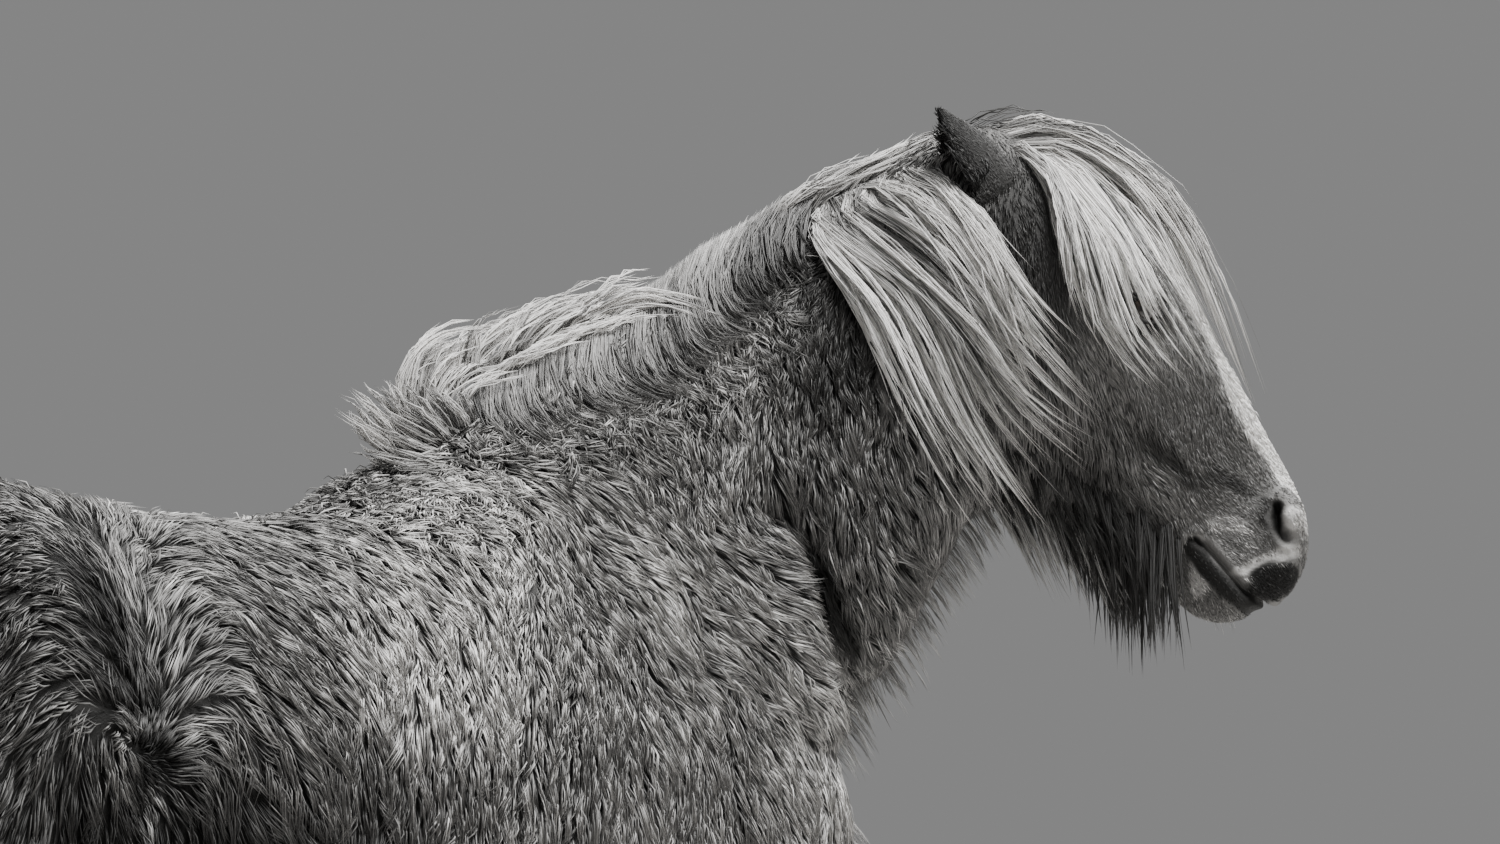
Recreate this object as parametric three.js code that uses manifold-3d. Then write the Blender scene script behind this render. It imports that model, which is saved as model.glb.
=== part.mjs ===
// Icelandic horse, standing in its winter coat with its head turned to the right: a still, life-size model.
// Millimetres, +Z up, +X towards the horse's front, +Y to its left. The solids are the coat's outer shape.
import * as THREE from 'three';
import { mergeVertices } from 'three/addons/utils/BufferGeometryUtils.js';
import Module from 'manifold-3d';

const wasm = await Module();
wasm.setup();

// Driving dimensions. Points of an outline are [forward, up] in the horse's middle plane.
const JOINT_GAP = 0.35; // clear space between neighbouring sub-parts
const TURN = 38; // degrees that neck and head turn to the right, at the poll
const HEAD_TURN = 41; // the head's own heading to the right
const HEAD_DROP = 55; // degrees of the head's long axis below level
const POLL = new THREE.Vector3(591, -178, 1637); // the top of the head, between the ears
const ELBOW_HEIGHT = 800; // the front legs part from the torso here
const STIFLE_HEIGHT = 872; // the hind legs part from the torso here
const KNEE_HEIGHT = 452; // each leg parts again at the knee or the hock
const HOCK_HEIGHT = 572;
const FOOT_SPACING = 130; // of each foot from the middle plane
const STRIDES = { // how far each foot stands forward of its square place
  front_left: 45,
  front_right: -25,
  hind_left: -35,
  hind_right: 60,
};

// The ears, in the head's frame: forward along the face, out to the side, up out of the forehead.
const EAR_ROOT = { x: 22, y: 58, z: 34 };
const EAR_TIP = { x: -97, y: 96, z: 4 };
const EAR_OPENING = { x: -0.3, y: 0.78, z: -0.42 };
const EAR = {
  widths: [24, 30, 33, 31, 25, 16, 4], depths: [20, 22, 19, 15, 11, 7, 2.5], from: 0, to: 1, shift: 0,
};
const EAR_CUP = {
  widths: [6, 19, 25, 25, 20, 12, 3], depths: [5, 15, 14, 12, 9, 6, 2], from: 0.2, to: 0.94, shift: 9,
};
const EYE = { x: 192, y: 86, z: 56 };
const EYE_RADIUS = 18;
const EYE_FACETS = [12, 8];
const LID_SLANT = -18;
const NOSTRIL = { x: 447, y: 44, z: 50 };
const NOSTRIL_SLANT = -36;
const MOUTH = [ // [along, height over the axis, half opening] from behind the corner out past the lips
  [400, -40, 2],
  [418, -35, 3.5],
  [445, -27, 3],
  [475, -20, 2.5],
  [505, -13, 2.5],
  [545, -8, 2.5],
];
const LIP_DEPTH = 9;
const HOOF_TOP = 84;
const FEATHER_STRETCH = [0.72, 0.79]; // of a leg's length, where hair hangs behind the fetlock

// Hair. A stroke is the lie of one lock, as [across, height] in the view square to the turned head.
// The long mane leaves the crest, curls back round a whorl and sweeps forward and down over the jaw.
const MANE_STROKES = [
  [[435, 1625], [405, 1605], [410, 1570], [450, 1520], [480, 1455], [515, 1385], [575, 1290]],
  [[450, 1630], [402, 1608], [460, 1560], [510, 1520], [540, 1460], [575, 1385], [640, 1295]],
  [[470, 1640], [425, 1615], [490, 1560], [530, 1520], [570, 1475], [605, 1430], [680, 1375]],
  [[495, 1655], [460, 1630], [510, 1610], [555, 1570], [590, 1520], [625, 1475], [690, 1400]],
  [[525, 1665], [505, 1655], [540, 1640], [575, 1615], [595, 1585], [625, 1540], [655, 1500]],
];
// Shorter hair that falls from the crest and turns forward where the neck's coat begins.
const CREST_STROKES = [
  [[60, 1425], [58, 1412], [72, 1392], [110, 1375]],
  [[150, 1465], [145, 1435], [160, 1400], [215, 1380]],
  [[230, 1520], [220, 1485], [230, 1440], [280, 1415]],
  [[290, 1560], [280, 1525], [285, 1470], [335, 1435]],
  [[355, 1600], [340, 1565], [340, 1510], [390, 1475]],
  [[400, 1625], [375, 1595], [370, 1545], [405, 1515]],
];
// The last tuft of the mane on the withers, which the wind lifts.
const TUFT_STROKES = [
  [[14, 1338], [-14, 1362], [-48, 1374]],
  [[15, 1344], [-17, 1386], [-54, 1422]],
  [[18, 1350], [-7, 1402], [-41, 1442]],
  [[22, 1352], [4, 1412], [-12, 1446]],
  [[25, 1356], [2, 1422], [12, 1474], [48, 1498], [88, 1501]],
  [[36, 1366], [30, 1426], [54, 1460], [98, 1472]],
];
// Wind-blown hair that rises from the crest and arcs forward over it.
const WIND_STROKES = [
  [[48, 1384], [56, 1436], [86, 1474], [135, 1502]],
  [[88, 1406], [103, 1462], [140, 1500], [192, 1524]],
  [[148, 1440], [168, 1490], [208, 1526], [266, 1562]],
  [[215, 1478], [235, 1524], [277, 1566], [335, 1603]],
  [[290, 1522], [313, 1570], [357, 1610], [418, 1644]],
  [[375, 1575], [402, 1620], [447, 1654], [505, 1679]],
  [[445, 1612], [465, 1648], [500, 1671], [548, 1690]],
];
// The forelock rises between the ears and falls over brow and eye.
const FORELOCK_STROKES = [
  [[572, 1640], [606, 1672], [636, 1645], [645, 1610], [650, 1555], [655, 1510]],
  [[568, 1650], [610, 1675], [648, 1620], [664, 1565], [685, 1490], [732, 1435]],
  [[556, 1662], [630, 1662], [675, 1610], [705, 1565], [730, 1490], [782, 1435]],
  [[552, 1665], [645, 1672], [700, 1625], [735, 1575], [765, 1520], [805, 1450]],
  [[548, 1668], [640, 1690], [705, 1662], [750, 1615], [785, 1550], [835, 1430]],
  [[545, 1670], [615, 1704], [685, 1682], [750, 1638], [797, 1560], [846, 1418]],
];

const coat = new THREE.MeshStandardMaterial({ color: 0x6f6b67, roughness: 0.85, metalness: 0 });
const darkCoat = new THREE.MeshStandardMaterial({ color: 0x45423f, roughness: 0.85, metalness: 0 });
const paleHair = new THREE.MeshStandardMaterial({ color: 0xd6d3cc, roughness: 0.7, metalness: 0 });
const horn = new THREE.MeshStandardMaterial({ color: 0x3a3735, roughness: 0.5, metalness: 0 });
const eyeball = new THREE.MeshStandardMaterial({ color: 0x15110e, roughness: 0.1, metalness: 0 });

// Outlines. Each station is [top point, bottom point, half width, squareness, lean of the width to the top].
const TRUNK = [
  [[-925, 1112], [-925, 1088], 14, 1, 0],
  [[-904, 1205], [-900, 985], 118, 0.95, 0],
  [[-842, 1276], [-850, 905], 182, 0.9, 0.05],
  [[-720, 1334], [-730, 845], 226, 0.86, 0.06],
  [[-585, 1356], [-590, 805], 246, 0.84, 0.06],
  [[-470, 1350], [-470, 782], 250, 0.85, 0],
  [[-355, 1329], [-350, 756], 262, 0.88, -0.06],
  [[-225, 1315], [-220, 728], 282, 0.92, -0.12],
  [[-100, 1325], [-90, 714], 280, 0.94, -0.2],
  [[-15, 1366], [30, 716], 264, 0.96, -0.3],
  [[95, 1362], [150, 730], 240, 0.95, -0.34],
  [[215, 1316], [265, 757], 220, 0.92, -0.3],
  [[330, 1245], [365, 802], 200, 0.9, -0.15],
  [[425, 1160], [445, 868], 162, 0.9, -0.05],
  [[482, 1080], [490, 940], 88, 0.95, 0],
  [[500, 1022], [502, 1000], 12, 1, 0],
];
// The neck bends, so its stations are whole points: [crest, throat, half width, squareness, lean, heading].
const NECK = [
  [[-150, 0, 1270], [200, 0, 900], 60, 1, 0, 0],
  [[-60, 0, 1335], [350, 0, 950], 172, 0.95, -0.3, 0],
  [[50, 0, 1398], [448, -6, 1022], 170, 0.95, -0.4, -3],
  [[165, -3, 1458], [487, -42, 1085], 150, 0.95, -0.46, -12],
  [[280, -18, 1519], [521, -76, 1135], 133, 0.95, -0.48, -20],
  [[385, -52, 1580], [546, -116, 1193], 122, 0.93, -0.45, -27],
  [[470, -92, 1616], [570, -146, 1252], 115, 0.92, -0.38, -33],
  [[545, -140, 1645], [588, -168, 1300], 110, 0.9, -0.25, -TURN],
  [[615, -196, 1640], [640, -214, 1345], 92, 0.9, 0, -TURN],
  [[650, -225, 1580], [660, -232, 1420], 20, 1, 0, -TURN],
];
// The head lies in its own frame: [along, above axis] from the poll to the lips.
const HEAD = [
  [[-78, 0], [-70, -90], 14, 1, 0],
  [[-38, 48], [-35, -150], 74, 0.95, 0],
  [[25, 76], [25, -188], 95, 0.9, 0.05],
  [[90, 99], [90, -200], 106, 0.85, 0.1],
  [[150, 109], [150, -197], 111, 0.8, 0.14],
  [[205, 108], [205, -186], 109, 0.8, 0.16],
  [[260, 103], [262, -163], 94, 0.82, 0.12],
  [[315, 97], [318, -132], 76, 0.84, 0.06],
  [[365, 91], [368, -108], 64, 0.86, 0],
  [[410, 87], [412, -92], 59, 0.86, 0],
  [[450, 79], [450, -87], 61, 0.84, 0],
  [[482, 61], [478, -78], 60, 0.84, 0],
  [[502, 38], [494, -62], 50, 0.86, 0],
  [[511, 16], [505, -38], 30, 0.9, 0],
  [[513, -4], [511, -18], 6, 1, 0],
];
// Legs run down: [front point, back point, half width, squareness, lean, distance from the middle plane].
const FRONT_LEG = [
  [[190, 1330], [150, 1325], 14, 1, 0, 96],
  [[268, 1262], [75, 1235], 46, 1, 0, 112],
  [[352, 1160], [62, 1110], 74, 1, 0, 124],
  [[400, 1040], [80, 980], 88, 0.95, 0, 132],
  [[398, 925], [100, 870], 84, 0.92, 0, 140],
  [[322, 826], [112, 792], 70, 0.92, 0, 146],
  [[272, 720], [130, 705], 58, 0.95, 0, 145],
  [[256, 610], [148, 602], 48, 1, 0, 141],
  [[249, 505], [160, 498], 43, 1, 0, 136],
  [[253, 452], [160, 445], 47, 0.95, 0, 134],
  [[241, 396], [165, 390], 38, 1, 0, 133],
  [[228, 320], [169, 315], 31, 1, 0, 132],
  [[228, 252], [165, 246], 33, 1, 0, 131],
  [[237, 206], [157, 198], 40, 1, 0, 130],
  [[253, 166], [177, 150], 36, 1, 0, 130],
  [[272, 127], [194, 107], 39, 1, 0, 130],
  [[288, 92], [205, 72], 47, 1, 0, 130],
  [[270, 45], [240, 40], 14, 1, 0, 130],
];
const HIND_LEG = [
  [[-500, 1290], [-600, 1290], 14, 1, 0, 120],
  [[-420, 1200], [-780, 1190], 84, 0.9, 0, 138],
  [[-392, 1085], [-878, 1075], 100, 0.88, 0, 148],
  [[-380, 970], [-884, 965], 100, 0.88, 0, 152],
  [[-388, 875], [-862, 880], 88, 0.9, 0, 150],
  [[-455, 790], [-834, 806], 74, 0.95, 0, 145],
  [[-575, 700], [-818, 734], 60, 1, 0, 140],
  [[-675, 612], [-838, 660], 50, 1, 0, 136],
  [[-732, 545], [-872, 592], 46, 1, 0, 133],
  [[-748, 488], [-852, 502], 42, 1, 0, 131],
  [[-757, 420], [-829, 425], 34, 1, 0, 130],
  [[-757, 332], [-823, 332], 32, 1, 0, 130],
  [[-754, 252], [-826, 250], 34, 1, 0, 130],
  [[-745, 206], [-834, 199], 42, 1, 0, 130],
  [[-726, 166], [-808, 149], 37, 1, 0, 130],
  [[-705, 127], [-788, 106], 40, 1, 0, 130],
  [[-690, 92], [-776, 72], 47, 1, 0, 130],
  [[-710, 45], [-740, 40], 14, 1, 0, 130],
];
// A hoof, from inside the coronet down to its flat sole, set out from its own heel.
const HOOF = [
  [[62, 96], [20, 84], 10, 1, 0],
  [[78, 90], [0, 70], 48, 0.95, 0],
  [[95, 50], [1, 38], 54, 0.95, 0],
  [[116, 0], [6, 0], 61, 0.95, 0],
  [[122, -12], [8, -12], 62, 0.95, 0],
];
const FRONT_HEEL = 207; // forward place of the front hooves' heels in a square stance
const HIND_HEEL = -774;
// The dock, the tail's fleshy core, and the outer form of its hair.
const DOCK = [
  [[-760, 1262], [-780, 1188], 14, 1, 0],
  [[-850, 1262], [-850, 1188], 34, 1, 0],
  [[-926, 1228], [-888, 1168], 34, 1, 0],
  [[-968, 1150], [-922, 1118], 34, 1, 0],
  [[-984, 1030], [-944, 1015], 34, 1, 0],
  [[-992, 880], [-958, 870], 30, 1, 0],
  [[-990, 760], [-972, 758], 8, 1, 0],
];
const TAIL = [
  [[-800, 1272], [-800, 1180], 30, 1, 0],
  [[-868, 1270], [-862, 1172], 46, 1, 0],
  [[-936, 1240], [-884, 1150], 52, 1, 0],
  [[-986, 1160], [-910, 1105], 60, 1, 0],
  [[-1016, 1040], [-927, 1015], 74, 1, 0],
  [[-1036, 880], [-938, 870], 92, 1, 0],
  [[-1048, 700], [-944, 695], 104, 1, 0],
  [[-1054, 520], [-950, 518], 106, 1, 0],
  [[-1054, 380], [-958, 380], 96, 1, 0],
  [[-1048, 240], [-970, 240], 72, 1, 0],
];

const degrees = THREE.MathUtils.degToRad;
const vector = (x, y, z) => new THREE.Vector3(x, y, z);
const VIEW_ACROSS = vector(Math.cos(degrees(TURN)), -Math.sin(degrees(TURN)), 0);
const VIEW_DEPTH = vector(Math.sin(degrees(TURN)), Math.cos(degrees(TURN)), 0);
const sideAt = (heading) => vector(-Math.sin(degrees(heading)), Math.cos(degrees(heading)), 0);

// Every skin is a sphere's grid of vertices, each moved to its own place around and along the form.
function shell(columns, rows, place) {
  const geometry = new THREE.SphereGeometry(1, columns, rows);
  const position = geometry.attributes.position;
  for (let row = 0; row <= rows; row += 1) {
    for (let column = 0; column <= columns; column += 1) {
      const point = place(((column % columns) / columns) * 2 * Math.PI, row / rows);
      position.setXYZ(row * (columns + 1) + column, point.x, point.y, point.z);
    }
  }
  return geometry;
}

function solid(geometry) {
  geometry.deleteAttribute('normal');
  geometry.deleteAttribute('uv');
  const merged = mergeVertices(geometry, 1e-3);
  const vertProperties = new Float32Array(merged.attributes.position.array);
  const triVerts = new Uint32Array(merged.index.array);
  const corner = (place) => vector().fromArray(vertProperties, triVerts[place] * 3);
  let volume = 0;
  for (let place = 0; place < triVerts.length; place += 3) {
    volume += corner(place).dot(corner(place + 1).cross(corner(place + 2)));
  }
  if (volume < 0) triVerts.reverse();
  return new wasm.Manifold(new wasm.Mesh({ numProp: 3, vertProperties, triVerts }));
}

// A form lofted through stations { top, bottom, side, half, square, lean }, swollen by grow on every side.
function surfaceOf(stations) {
  const curve = (key) => new THREE.CatmullRomCurve3(stations.map(key), false, 'catmullrom', 0.5);
  const tops = curve((station) => station.top);
  const bottoms = curve((station) => station.bottom);
  const sides = curve((station) => station.side);
  const shapes = curve((station) => vector(station.half, station.square, station.lean));
  return (around, along, grow = 0) => {
    const end = along <= 0 || along >= 1;
    const top = tops.getPoint(along);
    const bottom = bottoms.getPoint(along);
    const shape = shapes.getPoint(along);
    const up = top.clone().sub(bottom).multiplyScalar(0.5);
    const reach = up.length();
    up.divideScalar(reach);
    const centre = top.add(bottom).multiplyScalar(0.5);
    if (end) return centre;
    const rounded = (value) => Math.sign(value) * Math.abs(value) ** shape.y;
    const high = rounded(Math.cos(around));
    const wide = rounded(Math.sin(around)) * (1 + shape.z * Math.cos(around));
    return centre
      .addScaledVector(up, (reach + grow) * high)
      .addScaledVector(sides.getPoint(along).normalize(), (shape.x + grow) * wide);
  };
}

const middle = ([x, z]) => vector(x, 0, z);
const STRAIGHT = vector(0, 1, 0);

const trunkStations = TRUNK.map(([top, bottom, half, square, lean]) => (
  { top: middle(top), bottom: middle(bottom), side: STRAIGHT, half, square, lean }));
const neckStations = NECK.map(([top, bottom, half, square, lean, heading]) => (
  { top: vector(...top), bottom: vector(...bottom), side: sideAt(heading), half, square, lean }));
const [dockStations, tailStations] = [DOCK, TAIL].map((table) => table.map((station) => {
  const [top, bottom, half, square, lean] = station;
  return { top: middle(top), bottom: middle(bottom), side: STRAIGHT, half, square, lean };
}));

// A leg's stations for one side of the body: below its top it leans to where the foot stands.
function legStations(table, left, stride, topHeight) {
  const mirror = left ? 1 : -1;
  const placed = ([x, z], out) => (
    vector(x + stride * THREE.MathUtils.clamp(1 - z / topHeight, 0, 1), mirror * out, z));
  return table.map(([front, back, half, square, lean, out]) => (
    { top: placed(front, out), bottom: placed(back, out), side: STRAIGHT, half, square, lean }));
}

function hoofStations(left, heel) {
  const out = (left ? 1 : -1) * FOOT_SPACING;
  return HOOF.map(([front, back, half, square, lean]) => (
    { top: vector(front[0] + heel, out, front[1]), bottom: vector(back[0] + heel, out, back[1]),
      side: STRAIGHT, half, square, lean }));
}

// The head's own frame: X along its axis to the lips, Y to its left, Z out of the forehead.
const headFrame = new THREE.Group();
headFrame.position.copy(POLL);
headFrame.rotation.set(0, degrees(HEAD_DROP), degrees(-HEAD_TURN), 'ZYX');
headFrame.updateMatrixWorld(true);
const ahead = (x, y, z) => vector(x, y, z).applyMatrix4(headFrame.matrixWorld);
const headDirection = (x, y, z) => vector(x, y, z).transformDirection(headFrame.matrixWorld);
const headStations = HEAD.map(([top, bottom, half, square, lean]) => (
  { top: ahead(top[0], 0, top[1]), bottom: ahead(bottom[0], 0, bottom[1]),
    side: headDirection(0, 1, 0), half, square, lean }));

function loft(stations, [columns, rows], grow = 0) {
  const surface = surfaceOf(stations);
  return solid(shell(columns, rows, (around, along) => surface(around, along, grow)));
}

// Half of all space, on the side of a plane that its normal points away from.
function behind(point, normal, gap = 0) {
  const SPACE = 6000;
  const box = new THREE.BoxGeometry(SPACE, SPACE, SPACE);
  const turned = new THREE.Quaternion().setFromUnitVectors(vector(0, 0, 1), normal.clone().normalize());
  const centre = point.clone().addScaledVector(normal.clone().normalize(), -SPACE / 2 - gap);
  box.applyMatrix4(new THREE.Matrix4().compose(centre, turned, vector(1, 1, 1)));
  return solid(box);
}
const infrontOf = (point, normal, gap = 0) => behind(point, normal.clone().negate(), gap);

function largest(manifold) {
  const bodies = manifold.decompose();
  return bodies.reduce((best, body) => (body.volume() > best.volume() ? body : best));
}
const join = (parts) => parts.reduce((whole, part) => whole.add(part));

// A lock of hair: a flat, tapered solid along a path, thin across its facing direction.
// Its first ring lies close to the root, so that it leaves the body broad and narrows to its tip.
const LOCK_SIDES = 3;
const RIDGE = Math.PI / 2;
const ROOT_RING = 0.06;
const fullness = (along, root) => Math.min(1, root + 1.5 * along) * (1 - along ** 1.9) ** 0.85;
function lock(path, facing, { width, depth, rows, root = 0.8 }, grow = 0) {
  const curve = new THREE.CatmullRomCurve3(path);
  return solid(shell(LOCK_SIDES, rows, (turn, step) => {
    const around = turn + RIDGE;
    const along = step <= 0 ? 0 : ROOT_RING + ((1 - ROOT_RING) * (step * rows - 1)) / (rows - 1);
    const point = curve.getPoint(along);
    const tangent = curve.getTangent(along);
    if (step <= 0 || step >= 1) return point.addScaledVector(tangent, (step > 0.5 ? 1 : -1) * grow);
    const face = facing[0].clone().lerp(facing[1], along);
    face.addScaledVector(tangent, -face.dot(tangent)).normalize();
    const across = tangent.clone().cross(face);
    const full = fullness(along, root);
    return point
      .addScaledVector(across, Math.cos(around) * ((full * width) / 2 + grow))
      .addScaledVector(face, Math.sin(around) * ((full * depth) / 2 + grow));
  }));
}

// Seeded draws, so that every build gives the same hair.
function seeded(seed) {
  let state = seed;
  return (low, high) => {
    state = (state * 1664525 + 1013904223) % 4294967296;
    return low + ((high - low) * state) / 4294967296;
  };
}

function meshOf(manifold) {
  const { numProp, vertProperties, triVerts } = manifold.getMesh();
  const geometry = new THREE.BufferGeometry();
  geometry.setAttribute('position', new THREE.BufferAttribute(new Float32Array(vertProperties), numProp));
  geometry.setIndex(new THREE.BufferAttribute(new Uint32Array(triVerts), 1));
  geometry.computeVertexNormals();
  return new THREE.Mesh(geometry, coat);
}

const neckSurface = surfaceOf(neckStations);
const headSurface = surfaceOf(headStations);
const trunkSurface = surfaceOf(trunkStations);

const NECK_FRONT = vector(0.58, 0, 0.815); // the neck parts from the torso across this direction
const NECK_ROOT = vector(-48, 0, 1350); // at the withers, behind the last of the mane
const HEAD_FRONT = vector(0.788, -0.616, 0.07);
const THROAT = vector(591, -178, 1297);

const LEGS = [
  { name: 'front_left', upper: 'forearm_left', left: true },
  { name: 'front_right', upper: 'forearm_right', left: false },
  { name: 'hind_left', upper: 'thigh_left', left: true },
  { name: 'hind_right', upper: 'thigh_right', left: false },
].map((leg) => (leg.name.startsWith('front')
  ? { ...leg, table: FRONT_LEG, cut: ELBOW_HEIGHT, joint: KNEE_HEIGHT, heel: FRONT_HEEL }
  : { ...leg, table: HIND_LEG, cut: STIFLE_HEIGHT, joint: HOCK_HEIGHT, heel: HIND_HEEL }));
const LEG_LEAN_TOP = 900; // below this height a leg leans to where its foot stands

// Facets around and along each form.
const FACETS = {
  trunk: [26, 21], neck: [20, 14], head: [22, 20], leg: [10, 17], hoof: [12, 5], ear: [10, 8], tail: [10, 8],
};
const trunk = loft(trunkStations, FACETS.trunk);
const trunkSpace = loft(trunkStations, FACETS.trunk, JOINT_GAP);
const legs = LEGS.map((leg) => (
  { ...leg, form: loft(legStations(leg.table, leg.left, STRIDES[leg.name], LEG_LEAN_TOP), FACETS.leg) }));
const up = vector(0, 0, 1);
const neckForm = loft(neckStations, FACETS.neck);
const headForm = loft(headStations, FACETS.head);
const legTops = legs.map((leg) => leg.form.intersect(infrontOf(vector(0, 0, leg.cut), up, JOINT_GAP / 2)));
const body = join([trunk, ...legTops, neckForm, headForm]);

// An ellipsoid in the head's frame, turned about the sideways axis and about its own length.
function headBall(at, radii, tilt = 0, [columns, rows] = [12, 8]) {
  const ball = new THREE.SphereGeometry(1, columns, rows).scale(...radii);
  ball.applyMatrix4(new THREE.Matrix4().makeRotationY(degrees(tilt)));
  return solid(ball.translate(...at).applyMatrix4(headFrame.matrixWorld));
}

// An ear's stations run from its root to its tip, with the station's top on the side of the opening.
function earStations(side, { widths, depths, from, to, shift }) {
  const root = vector(EAR_ROOT.x, side * EAR_ROOT.y, EAR_ROOT.z);
  const tip = vector(EAR_TIP.x, side * EAR_TIP.y, EAR_TIP.z);
  const axis = tip.clone().sub(root).normalize();
  const opening = vector(EAR_OPENING.x, side * EAR_OPENING.y, EAR_OPENING.z);
  opening.addScaledVector(axis, -opening.dot(axis)).normalize();
  const across = axis.clone().cross(opening);
  return widths.map((half, index) => {
    const centre = root.clone().lerp(tip, THREE.MathUtils.lerp(from, to, index / (widths.length - 1)));
    centre.addScaledVector(opening, shift);
    return {
      top: centre.clone().addScaledVector(opening, depths[index]).applyMatrix4(headFrame.matrixWorld),
      bottom: centre.clone().addScaledVector(opening, -depths[index]).applyMatrix4(headFrame.matrixWorld),
      side: across.clone().transformDirection(headFrame.matrixWorld),
      half,
      square: 1,
      lean: 0,
    };
  });
}

function mouthStations() {
  return MOUTH.map(([along, height, half]) => ({
    top: ahead(along, 0, height + half),
    bottom: ahead(along, 0, height - half),
    side: headDirection(0, 1, 0), half: 90, square: 0.6, lean: 0,
  }));
}

const SIDES = [{ name: 'left', side: 1 }, { name: 'right', side: -1 }];
const ears = SIDES.map(({ side }) => loft(earStations(side, EAR), FACETS.ear));
const earCups = SIDES.map(({ side }) => loft(earStations(side, EAR_CUP), FACETS.ear));
const earSpace = join(SIDES.map(({ side }) => loft(earStations(side, EAR), FACETS.ear, JOINT_GAP)));
const headSpace = loft(headStations, FACETS.head, JOINT_GAP);

const inFrontOfNeckRoot = infrontOf(NECK_ROOT, NECK_FRONT, JOINT_GAP / 2);
const behindNeckRoot = behind(NECK_ROOT, NECK_FRONT, JOINT_GAP / 2);
const behindHead = behind(THROAT, HEAD_FRONT, JOINT_GAP / 2);
const inFrontOfThroat = infrontOf(THROAT, HEAD_FRONT, JOINT_GAP / 2);

// The space that neighbouring sub-parts take, with the gap that hair keeps to them.
const bodySpace = join([trunkSpace, headSpace, loft(neckStations, FACETS.neck, JOINT_GAP)]);
const torsoSpace = bodySpace.intersect(behind(NECK_ROOT, NECK_FRONT, -JOINT_GAP / 2));
const headZone = bodySpace.intersect(infrontOf(THROAT, HEAD_FRONT, -JOINT_GAP / 2));
const neckZone = bodySpace.intersect(infrontOf(NECK_ROOT, NECK_FRONT, -JOINT_GAP / 2))
  .intersect(behind(THROAT, HEAD_FRONT, -JOINT_GAP / 2));

// Hair is laid on the bare body by looking at it square to the turned head, from either side.
const bareBody = meshOf(body);
const middleLine = [...neckStations, ...headStations.slice(4)].map(({ top }) => (
  [top.dot(VIEW_ACROSS), top.dot(VIEW_DEPTH)]));
function middleDepth(across) {
  const next = middleLine.findIndex(([reach]) => reach > across);
  if (next <= 0) return middleLine[next < 0 ? middleLine.length - 1 : 0][1];
  const [low, high] = [middleLine[next - 1], middleLine[next]];
  return THREE.MathUtils.mapLinear(across, low[0], high[0], low[1], high[1]);
}
// Past the body's outline hair keeps to the middle plane, or where it overhangs to its own last depth.
const RAY_START = 3000;
const ray = new THREE.Raycaster();
const FALL = 8; // how much further in than the point before it a free-hanging lock may reach
function laid(across, height, near, lastDepth) {
  const sight = VIEW_DEPTH.clone().multiplyScalar(near);
  const onPlane = vector(0, 0, height).addScaledVector(VIEW_ACROSS, across);
  ray.set(onPlane.clone().addScaledVector(sight, -RAY_START), sight);
  const [hit] = ray.intersectObject(bareBody);
  if (!hit) return lastDepth ?? middleDepth(across);
  const depth = hit.point.dot(VIEW_DEPTH);
  return lastDepth === undefined ? depth : lastDepth + near * Math.min(near * (depth - lastDepth), FALL);
}

// Locks between neighbouring strokes. They grow from the middle plane and come out to their side's surface.
function coiffure({ strokes, count, seed, near = 1, size, tiers, spread, reach = 1, overhang = false }) {
  const draw = seeded(seed);
  const curves = strokes.map((stroke) => (
    new THREE.CatmullRomCurve3(stroke.map(([across, height]) => vector(across, height, 0)))));
  const places = new Array(size.rows + 1).fill(0).map((_, step) => step / size.rows);
  return new Array(count).fill(0).map((_, index) => {
    const turn = THREE.MathUtils.clamp((index + draw(-0.3, 0.3)) / (count - 1), 0, 0.999);
    const place = turn * (curves.length - 1);
    const first = Math.floor(place);
    const shift = [draw(-spread, spread), draw(-spread, spread)];
    const length = reach * draw(0.84, 1);
    const height = tiers[index % tiers.length];
    const scale = draw(0.85, 1.15);
    let depth;
    const path = places.map((step) => {
      const point = curves[first].getPoint(step * length);
      point.lerp(curves[first + 1].getPoint(step * length), place - first);
      point.addScaledVector(vector(...shift, 0), Math.min(1, step * 2));
      depth = laid(point.x, point.y, near, overhang ? depth : undefined);
      const surfaced = Math.min(1, step * 3);
      const raised = THREE.MathUtils.lerp(middleDepth(point.x), depth - near * height, surfaced);
      return vector(0, 0, point.y).addScaledVector(VIEW_ACROSS, point.x).addScaledVector(VIEW_DEPTH, raised);
    });
    const facing = VIEW_DEPTH.clone().multiplyScalar(-near);
    const atRoot = facing.clone().add(vector(0, 0, 0.9));
    return { path, facing: [atRoot, facing], size: { ...size, width: size.width * scale } };
  });
}

// A fringe hangs from a line along a surface. Its locks are flat in the plane of the line.
const FRINGE_SINK = 15;
function fringe({ surface, around, along, count, seed, length, size, lean = 0, stand = 1, flat = 'along' }) {
  const draw = seeded(seed);
  return new Array(count).fill(0).map((_, index) => {
    const step = THREE.MathUtils.clamp((index + 0.5 + draw(-0.3, 0.3)) / count, 0.01, 0.99);
    const place = THREE.MathUtils.lerp(...along, step);
    const turn = degrees(draw(...around));
    const skin = surface(turn, place);
    const out = surface(turn, place, 10).sub(skin).normalize();
    const forward = surface(turn, Math.min(0.999, place + 0.02)).sub(surface(turn, place - 0.02)).normalize();
    const hang = vector(lean, 0, -1).normalize();
    const reach = length(step) * draw(0.82, 1.12);
    const path = [0, 0.12, 0.45, 0.75, 1].map((part) => (
      skin.clone().addScaledVector(out, part ? part * reach * stand * (1 - 0.55 * part) : -FRINGE_SINK)
        .addScaledVector(hang, part * reach * (1 - 0.4 * stand))));
    const facing = flat === 'along' ? forward.cross(hang).normalize() : out;
    return { path, facing: [facing, facing], size };
  });
}

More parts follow.
